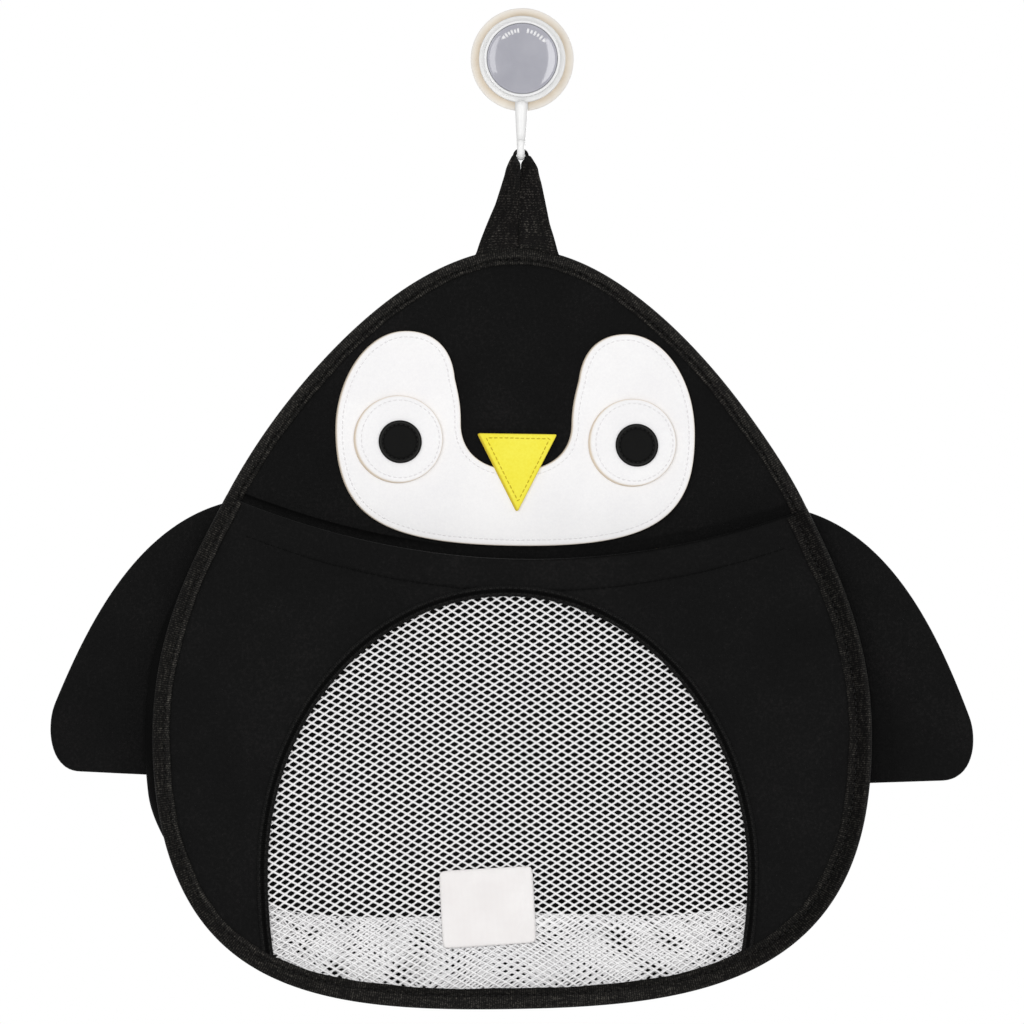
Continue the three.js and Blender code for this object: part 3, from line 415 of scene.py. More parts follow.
def yarn(name, low, high, shine=0.15, sheen=0.03, period=0.45, wobble=0.6, lay=(0.4, 0.9, 0.6), grain=700,
         plied=0.5, rough=(0.7, 0.7), relief=(0.5, 0.15)):
    """Twisted yarn: bands of its ply, at the angles of its lay, over a noise of that grain."""
    s = Shader(name, Sheen_Weight=sheen, Specular_IOR_Level=shine)
    ply, cloud = s.bands("X", period, wobble, vector=s.mapped(s.place, Rotation=lay)), s.noise(grain)
    tone = s.total((ply, plied), (cloud, 1 - plied))
    s.set(Base_Color=s.ramp(tone, (0.3, low), (0.7, high)), Roughness=s.ranged(cloud, *rough))
    s.bump(ply, *relief)
    return s.material


def label_cloth():
    s = Shader("label_cloth", Roughness=0.75, Sheen_Weight=0.06, Specular_IOR_Level=0.25)
    weave = s.math("MULTIPLY", s.bands("X", 0.55, 0.4), s.bands("Z", 0.5, 0.4))
    tone = s.total((weave, 0.4), (s.noise(55), 0.6))
    s.set(Base_Color=s.ramp(tone, (0.25, (236, 232, 231)), (0.65, (248, 246, 245))))
    s.bump(weave, 0.4, 0.15)
    s.bump(s.noise(120), 0.2, 0.6)
    return s.material


def plastic(name, low, high, rough, coat, grain=0.06, thin=None, **extra):
    """Moulded plastic or rubber; thin is a paler tone painted on a cup's rim for the light that comes through
    it.
    """
    s = Shader(name, Coat_Weight=coat, Coat_Roughness=0.06, Specular_IOR_Level=0.5, **extra)
    fine = s.noise(1500, 2)
    colour = s.ramp(s.noise(70, 4), (0.35, low), (0.65, high))
    if thin:
        # Painted light: a paler tone towards the cup's rim, for light coming through it
        x, _, z = s.node("SeparateXYZ", {0: s.place}).outputs
        radius = s.math("SQRT", s.total((x, x), (z, z)))
        colour = s.blend(s.ranged(radius, 0, 0.8, 20.5 * MM, 23.6 * MM), colour, thin)
    s.set(Base_Color=colour, Roughness=s.ranged(fine, rough * 0.8, rough * 1.25))
    s.bump(fine, grain, 0.1)
    return s.material


def milky(weight):
    """Light that spreads evenly a few millimetres inside."""
    return {"Subsurface_Weight": weight, "Subsurface_Scale": 0.004, "Subsurface_Radius": (1.0, 1.0, 1.0)}


NEO = neoprene()
NEO_BACK = neoprene("neoprene_back", True)
BIND = tape("binding_tape", 1.0, (24, 23, 22), (94, 91, 85), 0.2)
TRIM = tape("trim_tape", 1.0, 13, (40, 39, 38))
STRAP = tape("strap_tape", 1.3, (20, 19, 18), (90, 86, 81), 0.12)
# Each felt's third tone is painted shade for its cut edge; the black felt's last tone paints a highlight ring
# on the pupils
WHITE = felt("white_felt", (243, 242, 243), (251, 250, 250), (229, 214, 194))
BLACK = felt("black_felt", 9, (18, 18, 17), 5, 0.04, 0.13, (44, 44, 43))
YELLOW = felt("yellow_felt", (243, 229, 60), (249, 240, 86), (226, 201, 60))
GUSSET = felt("gusset_cloth", 8, 15, 8, 0.0, 0.03)
NET = yarn("white_net", (240, 239, 240), (252, 251, 251), 0.35, 0.08, 0.4, 1.0, (0, 0.55, 0), 45, 0.35,
           (0.45, 0.7), (0.3, 0.12))
LABEL = label_cloth()
WHITE_THREAD = yarn("white_thread", (233, 231, 232), (248, 247, 247))
YELLOW_THREAD = yarn("yellow_thread", (196, 172, 34), (226, 205, 58))
BLACK_THREAD = yarn("black_thread", 7, (26, 25, 24))
SEAM_THREAD = yarn("seam_thread", 5, 12, 0.05, 0.01)
CUP = plastic("cup_rubber", (222, 207, 186), (236, 224, 206), 0.42, 0.15, thin=(250, 247, 242), **milky(0.15))
HOOK = plastic("hook_plastic", (247, 247, 246), (252, 252, 251), 0.3, 0.25, **milky(0.4))
KNOB = plastic("knob_plastic", 247, 252, 0.26, 0.3, **milky(0.4))
CAP = plastic("cap_plastic", (151, 151, 162), (161, 161, 171), 0.3, 1.0, 0.03, Coat_IOR=1.8)
STUD = plastic("stud_plastic", 206, 222, 0.38, 0.1)
MARKS = plastic("dial_marks", (238, 238, 240), (248, 248, 250), 0.4, 0.4)


# Mesh makers. A mesh is a pair of points and faces.

def placed(name, data):
    obj = bpy.data.objects.new(name, data)
    bpy.context.scene.collection.objects.link(obj)
    return obj


def make(node, mesh, material, body="bag", name=None, slot=None, also=(), weld=None, marks=None, rims=None,
         runs=None):
    """A smooth closed piece that rides on a body and replaces a CAD node, if one is named. weld joins points
    closer than that. marks and rims are painted shade and painted highlight at its points; runs gives their
    places on a flat tape."""
    verts, faces = mesh
    name = name or node + "_skin"
    if body == "bag":
        verts = settle(verts)
    me = bpy.data.meshes.new(name)
    me.from_pydata((verts * MM).tolist(), [], faces)
    bm = bmesh.new()
    bm.from_mesh(me)
    if weld:
        bmesh.ops.remove_doubles(bm, verts=bm.verts, dist=weld * MM)
        bmesh.ops.dissolve_degenerate(bm, edges=bm.edges, dist=weld * MM)
    bmesh.ops.recalc_face_normals(bm, faces=bm.faces)
    bm.to_mesh(me)
    bm.free()
    for layer_name, values in (("cut", marks), ("rim", rims)):
        if values is not None:
            layer = me.attributes.new(layer_name, "FLOAT", "POINT")
            layer.data.foreach_set("value", np.asarray(values, np.float32))
    if runs:
        index = np.zeros(len(me.loops), int)
        me.loops.foreach_get("vertex_index", index)
        totals = [p.loop_total for p in me.polygons]
        face_of = np.repeat(np.arange(len(totals)), totals)
        layer = me.uv_layers.new(name="run")
        layer.data.foreach_set("uv", (runs(index, face_of) * MM).astype(np.float32).ravel())
    me.polygons.foreach_set("use_smooth", np.ones(len(me.polygons), bool))
    me.materials.append(material)
    obj = placed(name, me)
    if body:
        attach(obj, body)
    if node:
        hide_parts(node, *also)
    return obj


def skin(n, m, close_run, close_section=True, caps=True):
    """Faces of a run of n sections of m points each."""
    i, j = np.indices((n if close_run else n - 1, m if close_section else m - 1)).reshape(2, -1)
    i2, j2 = (i + 1) % n, (j + 1) % m
    faces = stack([i * m + j, i2 * m + j, i2 * m + j2, i * m + j2], -1).tolist()
    if caps and not close_run:
        faces += [list(range(m)), list(range((n - 1) * m, n * m))[::-1]]
    return faces


def loft(rings, close_run=False):
    """Closed sections carried along a run."""
    return rings.reshape(-1, 3), skin(*rings.shape[:2], close_run)


def swept(node, rings, material, close_run=False, **rest):
    """A piece made by loft that keeps its places along and across the run for a woven material."""
    n, m = rings.shape[:2]
    middle = rings[n // 2]
    u, v = (lengths(join(line, line[:1])) for line in (rings.mean(1), middle))
    quads = (n if close_run else n - 1) * m

    def runs(index, face_of):
        i, j = index // m, index % m
        quad = face_of < quads
        i = where(quad & (face_of // m == n - 1) & (i == 0), n, i)
        j = where(quad & (face_of % m == m - 1) & (j == 0), m, j)
        return points(u[i], v[j])

    return make(node, loft(rings, close_run), material, runs=runs, **rest)


def shell(face, back, fan=False):
    """A closed sheet with two faces, each a grid of points; the rows of a fan start at one centre."""
    n, m = face.shape[:2]
    grid = np.arange(n * m).reshape(n, m)
    quads = array(skin(n, m, fan, False, False))
    border = grid[:, -1]
    if not fan:
        border = join(grid[:, 0], grid[-1, 1:], grid[-2::-1, -1], grid[0, -2:0:-1])
    after = roll(border, -1)
    sides = stack([border, after, n * m + after, n * m + border], -1)
    faces = join(quads, quads[:, ::-1] + n * m, sides).tolist()
    return join(face.reshape(-1, 3), back.reshape(-1, 3)), faces


def lathe(profile, segments=96):
    """A turned ring; the profile is closed, as radius and depth."""
    r, depth = array(profile).T
    angle = full_turn(segments)[:, None]
    return loft(points(r * cos(angle), -depth, r * sin(angle)), True)


def rounded(corners, radii, count=4):
    """A closed outline with its corners rounded, each by its radius."""
    corners = array(corners, float)
    t = linspace(0, 1, count + 1)[:, None]
    out = []
    for p, before, after, radius in zip(corners, roll(corners, 1, 0), roll(corners, -1, 0), radii):
        la, lb = norm(before - p), norm(after - p)
        ua, ub = (before - p) / la, (after - p) / lb
        turn = acos(clip(ua @ ub, -1, 1))
        reach = min(radius / max(tan(turn / 2), 1e-3), 0.45 * la, 0.45 * lb)
        curve = (1 - t) ** 2 * (p + ua * reach) + 2 * (1 - t) * t * p + t ** 2 * (p + ub * reach)
        out.extend(curve if radius > 0 else [p])
    return array(out)


def merged(*meshes):
    verts, faces = [], []
    for v, f in meshes:
        start = len(verts)
        verts.extend(v)
        faces += [[k + start for k in face] for face in f]
    return array(verts), faces


def cut_area(outline):
    """Area of a closed outline, in square metres."""
    x, z = outline.T * MM
    return abs(float((x * roll(z, -1) - roll(x, -1) * z).sum())) / 2


def cloth(outline, share=1.0):
    """Works out the area of a cut outline in square metres, times share, how much of it a net's yarn fills;
    the result is kept nowhere.
    """
    share * cut_area(outline)


def stitches(name, path, material, pitch=2.9, length=2.1, width=0.55, height=0.34, rear=False, loop=False):
    """Sewn stitches along a path on a face that looks forward, or with rear on one that looks back."""
    if loop:
        path = join(path, path[:1])
    run = lengths(path)
    count = max(2, int(round(run[-1] / pitch)))
    at = (np.arange(count) + 0.5) * run[-1] / count
    ahead = unit(follow(path, run, at + 0.4) - follow(path, run, at - 0.4))
    up = array([0, 1 if rear else -1, 0])
    up = unit(up - (ahead @ up)[:, None] * ahead)
    side = np.cross(ahead, up)
    centre = follow(path, run, at) + 0.12 * ripple(at * 3.1, 0, 1.3)[:, None] * side
    a, turn = linspace(-1, 1, 6)[:, None], full_turn(6)
    thick = sqrt(1.02 - a ** 2) / 2
    one = points(a * length / 2, cos(turn) * thick * width, sin(turn) * thick * height + 0.18 * (1 - a * a))
    verts, faces = loft(one)
    verts = centre[:, None] + verts @ stack([ahead, side, up], 1)
    return make(None, merged(*((v, faces) for v in verts)), material, name=name, slot="binding_tape")


# Hook: cup, base with J hook, knob, cap

cup_profile = rounded(
    [(BORE, 8), (8.5, 8), (10, 6.2), (15.5, 4.2), (23.5, 1.4),
     (23.5, 0), (15.5, 0), (11.75, 3), (8, 5), (BORE, 5)],
    [0.2, 0.8, 1.5, 6.0, 0.6, 0.25, 1.0, 4.0, 1.5, 0.2], 5)
make("suction_cup", lathe(cup_profile), CUP, "hook")
base_profile = rounded(
    [(BORE, 8.3), (16.5, 8.3), (17.5, 3.8), (19.75, 3.01), (19.75, 11.0), (6.4, 11.0), (BORE, 11.0)],
    [0, 0.4, 0.5, 0.5, 0.8, 0.2, 0.2], 6)


def collar_half(sign):
    """One side of the slotted collar that guides the cross pin."""
    r, depth = rounded([(BORE, 10.8), (6.2, 10.8), (6.2, 17.0), (BORE, 17.0)], [0, 0, 0.4, 0.3]).T
    start = np.arcsin(BORE / 2 / r)
    angle = mix(start, pi - start, linspace(0, 1, 25)[:, None])
    return loft(points(r * cos(angle), -depth, sign * r * sin(angle)))


def j_hook(sides=24):
    """A round rod in the plane X = 0, from the base down, forward over the seat and up to a domed tip."""
    turn = linspace(0, pi / 2, 12)
    soon, late = BEND * (1 - sin(turn)), BEND * (1 - cos(turn))
    line = resample(chain(
        points(STEM_DEPTH, linspace(STEM_TOP, SEAT_Z + BEND, 16)),
        points(STEM_DEPTH + late, SEAT_Z + soon),
        points(linspace(STEM_DEPTH + BEND, TIP_DEPTH - BEND, 8), SEAT_Z),
        points(TIP_DEPTH - soon, SEAT_Z + late),
        points(TIP_DEPTH, linspace(SEAT_Z + BEND, TIP_Z, 6)),
    ), 110)
    ahead = unit(np.gradient(line, axis=0))
    r = mix(STEM_RADIUS, TIP_RADIUS, smooth(0, 1.15 * (STEM_TOP - SEAT_Z - BEND), lengths(line)))
    dome = linspace(0, pi / 2, 7)[1:-1]
    line = join(line, line[-1] + ahead[-1] * r[-1] * sin(dome)[:, None])
    ahead = join(ahead, np.repeat(ahead[-1:], len(dome), 0))
    r = join(r, r[-1] * cos(dome))[:, None]
    x, rise = r * cos(full_turn(sides)), r * sin(full_turn(sides))
    return loft(points(x, ahead[:, 1:] * rise - line[:, :1], line[:, 1:] + ahead[:, :1] * rise))


base = merged(lathe(base_profile), collar_half(1), collar_half(-1), j_hook())
make("hook_base", base, HOOK, "hook")
knob_profile = rounded(
    [(0, 18.2), (14.3, 18.2), (14.3, 11.3), (17.4, 11.3),
     (17.4, 22.6), (16.2, 22.6), (16.2, 19.7), (0, 19.7)],
    [0, 0.3, 0.4, 0.5, 0.9, 0.35, 0.2, 0], 5)


def knob_cam(turn):
    """A helical ramp inside the knob that lifts one end of the cross pin."""
    angle = linspace(-pi / 2 - 0.2, 0.2, 13)[:, None]
    top = maximum(CAM_TOP + minimum(0, angle) * CAM_LIFT / (pi / 2), CAM_LOW)
    r, depth = array([6.5, 14.6, 14.6, 6.5]), where([1, 1, 0, 0], CAM_FLOOR, top)
    return loft(points(r * cos(angle + turn), -depth, r * sin(angle + turn)))


knob = merged(lathe(knob_profile), knob_cam(0), knob_cam(pi))
make("twist_knob", knob, KNOB, "knob", weld=WELD)


def dish_depth(r):
    """The cap's hollow face: it steepens towards its edge."""
    return CAP_RIM - CAP_SLOPE * CAP_EDGE / CAP_POWER * (1 - minimum(r / CAP_EDGE, 1) ** CAP_POWER)


cap_profile = [(0, 20), (15.7, 20), (16, 20.3), (16, 22.05), (15.9, 22.22), (15.65, 22.31), (15.3, 22.33)]
cap_profile += [(r, dish_depth(r)) for r in linspace(CAP_EDGE - 0.1, 0, 34)]
make("knob_cap", lathe(cap_profile), CAP, "knob", weld=WELD)


def dial_block(degrees, corners):
    """A low block on the cap's face; its corners are distances from the dial's circle and round it."""
    a = radians(90 - degrees)
    out, side = array([cos(a), sin(a)]), array([-sin(a), cos(a)])
    flat = array([out * (DIAL_RADIUS + r) + side * w for r, w in corners])
    depth = dish_depth(norm(flat, axis=1)) + 0.08
    return loft(stack([at_depth(flat, depth), at_depth(flat, depth - 0.3)]))


# A plain turning scale: two runs of ticks along an arc, each with an arrowhead at its outer end
dial = []
for sign, first, step in ((-1, 9, 6.5), (1, 11, 7.5)):
    for k, tall in enumerate((1.1, 0.85, 1.1, 0.85, 1.1)):
        tick = (-tall, -0.5), (tall, -0.5), (tall, 0.5), (-tall, 0.5)
        dial.append(dial_block(sign * (first + k * step), tick))
    arrow = (0, -1.3 * sign), (1.1, 0.8 * sign), (-1.1, 0.8 * sign)
    dial.append(dial_block(sign * (first + 5.2 * step), arrow))
make(None, merged(*dial), MARKS, "knob", "dial_marks", "cap_plastic")

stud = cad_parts["pull_stud"]
stud.data.materials.clear()
stud.data.materials.append(STUD)


# Strap loop

across_strap = array([-1, -0.985, -0.94, -0.75, -0.5, -0.2, 0.2, 0.5, 0.75, 0.94, 0.985, 1])
half_cloth = array([0.25, 0.7, 0.95, 1, 1, 1, 1, 1, 1, 0.95, 0.7, 0.25])
strap_section = join(points(across_strap, -half_cloth), points(across_strap, half_cloth)[::-1])


def eased(t, *stops):
    """A smooth line through a few places and values."""
    at = linspace(-0.2, 1.2, 561)
    weight = np.hanning(49)
    line = np.convolve(interp(at, *zip(*stops)), weight / weight.sum(), "same")
    return interp(t, at, line)


def strap_rings(t, lean, outer, lap):
    """Sections of the left leg from t = 0, the seam, to 1, the hook's seat, or with a lean of the arch there.
    outer is how far out the leg's edge lies; the tape turns edge-on as it rises."""
    arch = lean > 0
    width = mix(outer[0], STRAP_TOP_WIDTH, t)
    opening = 1.9 * smooth(0.9, 1, t) ** 1.5
    closed = smooth(0, 0.05, t) * smooth(0.9, 0.78, t)
    turn = np.maximum.accumulate(np.arccos(clip((outer - opening) / width, 0, 1)))
    turn = where(arch, pi / 2, turn)
    gap = 0.8 * sin(turn) + opening - 0.12 - 0.4 * closed
    x = where(arch, -ARCH * cos(lean), -gap - width / 2 * cos(turn))
    depth = mix(STRAP_BASE_DEPTH, SEAT_DEPTH, t) + lap * closed
    z = mix(STRAP_BASE_Z, SEAT_Z, t) + where(arch, ARCH * sin(lean), 0)
    t, lean, arch, width, turn, x, depth, z = (v[:, None] for v in (t, lean, arch, width, turn, x, depth, z))
    across, half = strap_section.T
    wide = across * width / 2
    fold = sin(pi * clip(t * 1.1, 0, 1))
    cup = 0.55 * (1 - across ** 2) * fold + 0.28 * sin(across * 5.2 + lap) * fold * (1 - across ** 4)
    thick = half * STRAP_CLOTH / 2 + where(arch, 0, cup)
    x = x + wide * cos(turn) - thick * sin(turn) * cos(lean)
    y = wide * sin(turn) + thick * cos(turn) - depth
    fall = HEAD_Z - interp(abs(x), half_outline[:200, 0], half_outline[:200, 1])
    return points(x, y, z + thick * sin(lean) - (1 - t) ** 6 * (fall + 0.9))


leg_t = linspace(0, 1, 60) ** 1.3
left_edge = eased(leg_t, (-0.1, 22.6), (0, 20.6), (0.22, 16), (0.48, 10.9), (0.84, 6.1), (0.93, 4.4),
                  (1.05, 1.4))
right_edge = eased(leg_t, (-0.1, 20.4), (0, 18.6), (0.28, 13.6), (0.71, 9.3), (0.89, 6.8),
                   (0.96, 4.5), (1.05, 1.6))
left_leg = strap_rings(leg_t, 0 * leg_t, left_edge, -0.9)
right_leg = strap_rings(leg_t, 0 * leg_t, right_edge, 0.9)[::-1] * [-1, 1, 1]
arch = strap_rings(np.ones(24), linspace(0, pi, 26)[1:-1], np.full(24, 2.0), 0.0)
strap = swept("loop_strap", join(left_leg, arch, right_leg), STRAP, body=None)
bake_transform(strap)


# Back panel and the tape round it

def tape_ring(width, lip, tones):
    """Section of a tape folded over the neoprene's edge, as inset and set-back, with a sewn groove near its
    lip; and the painted shade of each point, from tones of fold, valley, groove and lip."""
    top, low = -FIT - TAPE, NEOPRENE + FIT + TAPE
    groove = width - lip
    inset = join(width - array([0, 0.15, 0.7, lip / 2]), groove - array([-0.5, -0.2, 0, 0.3, 0.8]),
                 mix(groove - 0.8, 2.5, array([0.25, 0.5, 0.75, 1])))
    sunk = [0.3, 0.12, 0.0, -0.04, 0.1, 0.34, 0.5, 0.34, 0.0, -0.24, -0.34, -0.28, -0.16]
    leaf = points(inset, sunk)
    turn = linspace(-pi / 2, pi / 2, 11)[1:-1]
    fold = points(2.3 - 2.3 * cos(turn), NEOPRENE / 2 + (low - top) / 2 * sin(turn))
    inner = [[width, NEOPRENE + FIT], [TAPE + 0.5, NEOPRENE + FIT], [TAPE + 0.5, -FIT], [width, -FIT]]
    section = join(leaf + [0, top], fold, (leaf * [1, -1] + [0, low])[::-1], inner)
    inset = section[:, 0]
    at_fold, at_valley, at_groove, at_lip = tones
    shade = at_groove * exp(-((inset - groove) / 0.6) ** 2) + 0.5 * smooth(width - 0.5, width, inset)
    flat = where(inset < groove, mix(at_fold, at_valley, smooth(0.9, 2.6, inset)), at_lip)
    return section, clip(maximum(shade, flat), 0, 1)


def binding(node, edge, section, shade, seam, sunk, place, closed=False):
    """A tape along an edge with stitches on both faces; place puts flat points on its panel."""
    shade = np.broadcast_to(shade, edge.shape[:2]).ravel()
    pieces = [swept(node, place(edge, section[:, 1]), BIND, closed, marks=shade)]
    for end, back in (("", sunk - FIT - TAPE), ("_rear", NEOPRENE + FIT + TAPE - 0.24)):
        path = place(seam, back)
        pieces.append(stitches(node + "_stitches" + end, path, BLACK_THREAD, rear=end != "", loop=closed))
    return pieces


def on_back(flat, back):
    return at_depth(flat, BACK_FACE - back)


# Painted shade on the back tape, darkest in its sewn groove
section, shade = tape_ring(HEAD_TAPE, HEAD_LIP, (0, 0.02, 0.75, 0))
edge_s = linspace(-HALF, HALF, 421)[:-1]
width = 1 + 0.03 * ripple(edge_s * 1.7, 0, 0.7)
edge = rim(edge_s[:, None], section[:, 0] * width[:, None])
seam = rim(edge_s, HEAD_TAPE - HEAD_LIP)
back_binding = binding("back_binding", edge, section, shade, seam, 0.32, on_back, True)

spokes = rim(linspace(-HALF, HALF, 241)[:-1], PANEL_IN)
share = join([0.0], linspace(0.04, 0.9, 24), [0.93, 0.96, 0.985, 1.0])
flat = BACK_CENTRE + (spokes[:, None] - BACK_CENTRE) * share[:, None]
wave = 0.16 * ripple(flat[..., 0], flat[..., 1], 0.2) * smooth(1, 0.9, share)
panel = shell(on_back(flat, wave), on_back(flat, NEOPRENE + wave), True)
back_panel = make("back_panel", panel, NEO_BACK, slot="neoprene", weld=WELD)
cloth(spokes)


# Face

def plate(node, outline, face, thick, material, sewing, groove, pitch=2.4, length=2.1,
          crown=0.0, dip=0.1, ringed=0.0, lean=(0.0, 0.0)):
    """A felt piece with a soft cut edge and a sewn groove; outline(d) is its outline moved in by d. ringed
    adds a painted highlight, a lighter ring, and painted shade in the groove, and lean is how far a slanted
    cut shifts its foot."""
    inset = array([0.35, 0.08, 0, 0, 0.1, 0.32, 0.7, *(groove + array([-1.1, -0.5, 0, 0.5, 1.1, 1.8]))])
    height = [-thick, 0.12 - thick, 0.4 - thick, -0.5, -0.22, -0.06, 0, 0.02, -0.06, -dip, -0.06, 0.02, crown]
    # Painted shade: the cut edge and the rounded border of the face go to the felt's darker edge tone
    cut = array([1, 1, 1, 1, 0.8, 0.35, 0.08, 0, 0, 0, 0, 0, 0])
    slant = array([1, 1, 0.85, 0.2, 0, 0, 0, 0, 0, 0, 0, 0, 0])
    on_face = np.arange(len(inset)) > 5
    # With ringed, painted shade darkens the groove and a painted highlight makes a lighter ring near the edge
    cut = maximum(cut, ringed * 0.7 * exp(-((inset - groove - 0.1) / 0.45) ** 2) * on_face)
    ring_highlight = ringed * exp(-((inset - 0.95) / 0.4) ** 2) * on_face
    rings = [at_depth(outline(i) + np.multiply(lean, s), face + h) for i, h, s in zip(inset, height, slant)]
    marks, rims = (np.repeat(tone, len(rings[0])) for tone in (cut, ring_highlight))
    piece = make(node, loft(stack(rings)), material, marks=marks, rims=rims)
    name = node.removesuffix("_patch") + "_stitches"
    seam = stitches(name, at_depth(outline(groove), face - 0.2), sewing, pitch, length, loop=True)
    cloth(outline(0))


def circle_outline(x, z, radius, count=96, drift=0.0):
    """A disc's outline; drift is how far its rings move right as they go in to the seam."""
    a = full_turn(count)
    spoke = points(cos(a), sin(a))
    return lambda inset: array([x + drift * min(inset / EYE_SEAM, 1), z]) + spoke * (radius - inset)


def offset_outline(outline):
    """Inward offsets of a smooth closed outline that runs clockwise."""
    ahead = unit(roll(outline, -1, 0) - roll(outline, 1, 0))
    return lambda inset: outline + points(ahead[:, 1], -ahead[:, 0]) * inset


face_half = resample(chain(
    bezier((0, 0), (14, 0), (25.5, 6.45), (25.5, 21.5), 40),
    bezier((25.5, 21.5), (25.5, 29.5), (27, 35.5), (28.5, 41.5), 30),
    bezier((28.5, 41.5), (30, 56.4), (39, 62.8), (50.3, 62.8), 40),
    bezier((50.3, 62.8), (67.9, 62.8), (81.8, 41.5), (81.8, 17.5), 60),
    bezier((81.8, 17.5), (81.8, -22.0), (62.2, -34.5), (0, -34.5), 90),
), 190) + [0, FACE_Z]
face_points = join(face_half, (face_half * [-1, 1])[-2:0:-1])
plate("face_patch", offset_outline(face_points), PATCH_FACE, PATCH_FELT, WHITE,
      WHITE_THREAD, PATCH_SEAM, lean=(-0.6, 0))
for side, sign in (("left", -1), ("right", 1)):
    outline = circle_outline(sign * EYE_OUT, EYE_Z, EYE_RADIUS, drift=EYE_DRIFT)
    plate(side + "_eye", outline, EYE_FACE, EYE_FELT, WHITE, WHITE_THREAD, EYE_SEAM,
          lean=(-0.8, -0.4))
    outline = circle_outline(sign * PUPIL_OUT + PUPIL_SHIFT, PUPIL_Z, PUPIL_RADIUS, 64)
    plate(side + "_pupil", outline, PUPIL_FACE, PUPIL_FELT, BLACK, BLACK_THREAD,
          PUPIL_SEAM, 2.2, 1.5, 0.05, 0.16, 1.0)

corners = array([[-17.4, -170.8], [18.6, -170.8], [1.1, -206.4]])
arcs = rounded(corners, [0.6] * 3, 6)
beak_points = join(*(linspace(a, b, 14 if norm(b - a) > 1 else 1, endpoint=False)
                     for a, b in zip(arcs, roll(arcs, -1, 0)))).round(4)
opposite = norm(roll(corners, -1, 0) - roll(corners, -2, 0), axis=1)
beak_middle = opposite @ corners / opposite.sum()
beak_points = beak_points[np.argsort(np.arctan2(*(beak_points - beak_middle).T[::-1]))]
BEAK_INNER = 2 * cut_area(corners) / MM ** 2 / opposite.sum()


def beak_outline(inset):
    return beak_middle + (beak_points - beak_middle) * (1 - inset / BEAK_INNER)


plate("beak", beak_outline, EYE_FACE, EYE_FELT, YELLOW, YELLOW_THREAD, BEAK_SEAM, dip=0.16,
      lean=(-0.8, -0.3))


# Pocket: panel, hem, binding, trim

foot_place = place_at(WINDOW_FOOT_Z)
mouth_x = linspace(left_corner[0], right_corner[0], 150)[1:-1]
outer = join(
    rim(-linspace(foot_place, left_mouth, 70), PANEL_IN),
    points(mouth_x, mouth_z(mouth_x)),
    rim(linspace(right_mouth, foot_place, 70), PANEL_IN),
)
SIDE_SHARE = 0.36
inner = window(join(
    linspace(0, SIDE_SHARE, 70),
    linspace(SIDE_SHARE, 1 - SIDE_SHARE, 150)[1:-1],
    linspace(1 - SIDE_SHARE, 1, 70),
), WINDOW_SEAM)


def hem_groove(flat):
    """How far the pocket's face is pulled in along the hem's seam and lifted between it and the mouth."""
    x, z = flat[..., 0], flat[..., 1]
    below = mouth_z(x) - z
    middle = smooth(MOUTH_HALF - 4, MOUTH_HALF - HEM_END, abs(x))
    seam_dip = 0.55 * exp(-((below - HEM_SEAM) / 0.75) ** 2)
    return middle * (seam_dip - 0.6 * sin(pi * clip(below / HEM_SEAM, 0, 1)))


def panel_rows():
    """Rows of the panel from the window out to its edge, close together near the hem, over the edge and back:
    each row's share of the way out for every column, and its set-back."""
    long = norm(outer - inner, axis=1)[:, None]
    near = minimum(24, 0.6 * long)
    out = join(near * linspace(0, 1, 50)[1:], mix(near, long, linspace(0, 1, 27)[1:]), axis=1)
    over = 1 - array([0.15, 0, 0, 0, 0.15]) / long
    back = linspace(0.985, 0, 14) + 0 * long
    share = join(1 - out[:, ::-1] / long, over, back, axis=1)
    return share, array([0.0] * out.shape[1] + [0.3, 0.9, 1.5, 2.1, 2.7] + [NEOPRENE] * back.shape[1])


row_share, row_back = panel_rows()
at_panel = inner[:, None] + (outer - inner)[:, None] * row_share[..., None]
set_back = row_back + hem_groove(at_panel) * where(row_back < 1, 1, 0.5)
below = maximum(mouth_z(at_panel[..., 0]) - at_panel[..., 1], 0)
# Painted shade: a dark line just under the pocket's edge, on its right half
mouth_edge_shade = 0.6 * exp(-(below / 0.9) ** 2) * smooth(-10, 40, at_panel[..., 0]) * (row_back < NEOPRENE)
front_panel = swept("front_panel", on_pocket(at_panel, set_back), NEO, marks=mouth_edge_shade.ravel())

hem_x = linspace(HEM_END - MOUTH_HALF, MOUTH_HALF - HEM_END, 90)[:, None]
hem_at = points(hem_x, mouth_z(hem_x) - HEM_DEPTH * linspace(0, 1, 10))
hem_back = NEOPRENE + FIT + 0.5 * hem_groove(hem_at)
hem = make("mouth_hem", shell(on_pocket(hem_at, hem_back), on_pocket(hem_at, hem_back + 1.2)), NEO)
seam_x = linspace(8.5 - MOUTH_HALF, MOUTH_HALF - 8.5, 160)
seam = on_pocket(points(seam_x, mouth_z(seam_x) - HEM_SEAM), 0.05)
front_pieces = [hem, stitches("hem_stitches", seam, SEAM_THREAD, 3.0, 2.8, 0.5, 0.24)]

low_w = linspace(left_mouth - HALF, HALF - right_mouth, 341)
on_left, on_right = smooth(40, 150, -low_w), smooth(40, 150, low_w)
# Painted shade on the front tape, with its own tones on the left, at the bottom and on the right, for how the
# light falls on each
shade = 0
for weight, tones in ((on_left, (0.25, 0.35, 0.6, 0)), (1 - on_left - on_right, (0, 0.1, 0.6, 0.4)),
                      (on_right, (0.08, 0.6, 0.85, 0.35))):
    section, tone = tape_ring(BINDING, BINDING_LIP, tones)
    shade = shade + weight[:, None] * tone
width = 0.95 - 0.15 * smooth(60, 170, -low_w) + 0.1 * smooth(60, 170, low_w)
width += 0.03 * ripple(low_w * 1.9, 0, 1.9)
edge = low_rim(low_w[:, None], section[:, 0] * width[:, None])
seam = low_rim(low_w, (BINDING - BINDING_LIP) * width)
front_pieces += binding("front_binding", edge, section, shade, seam, 0.42, on_pocket)
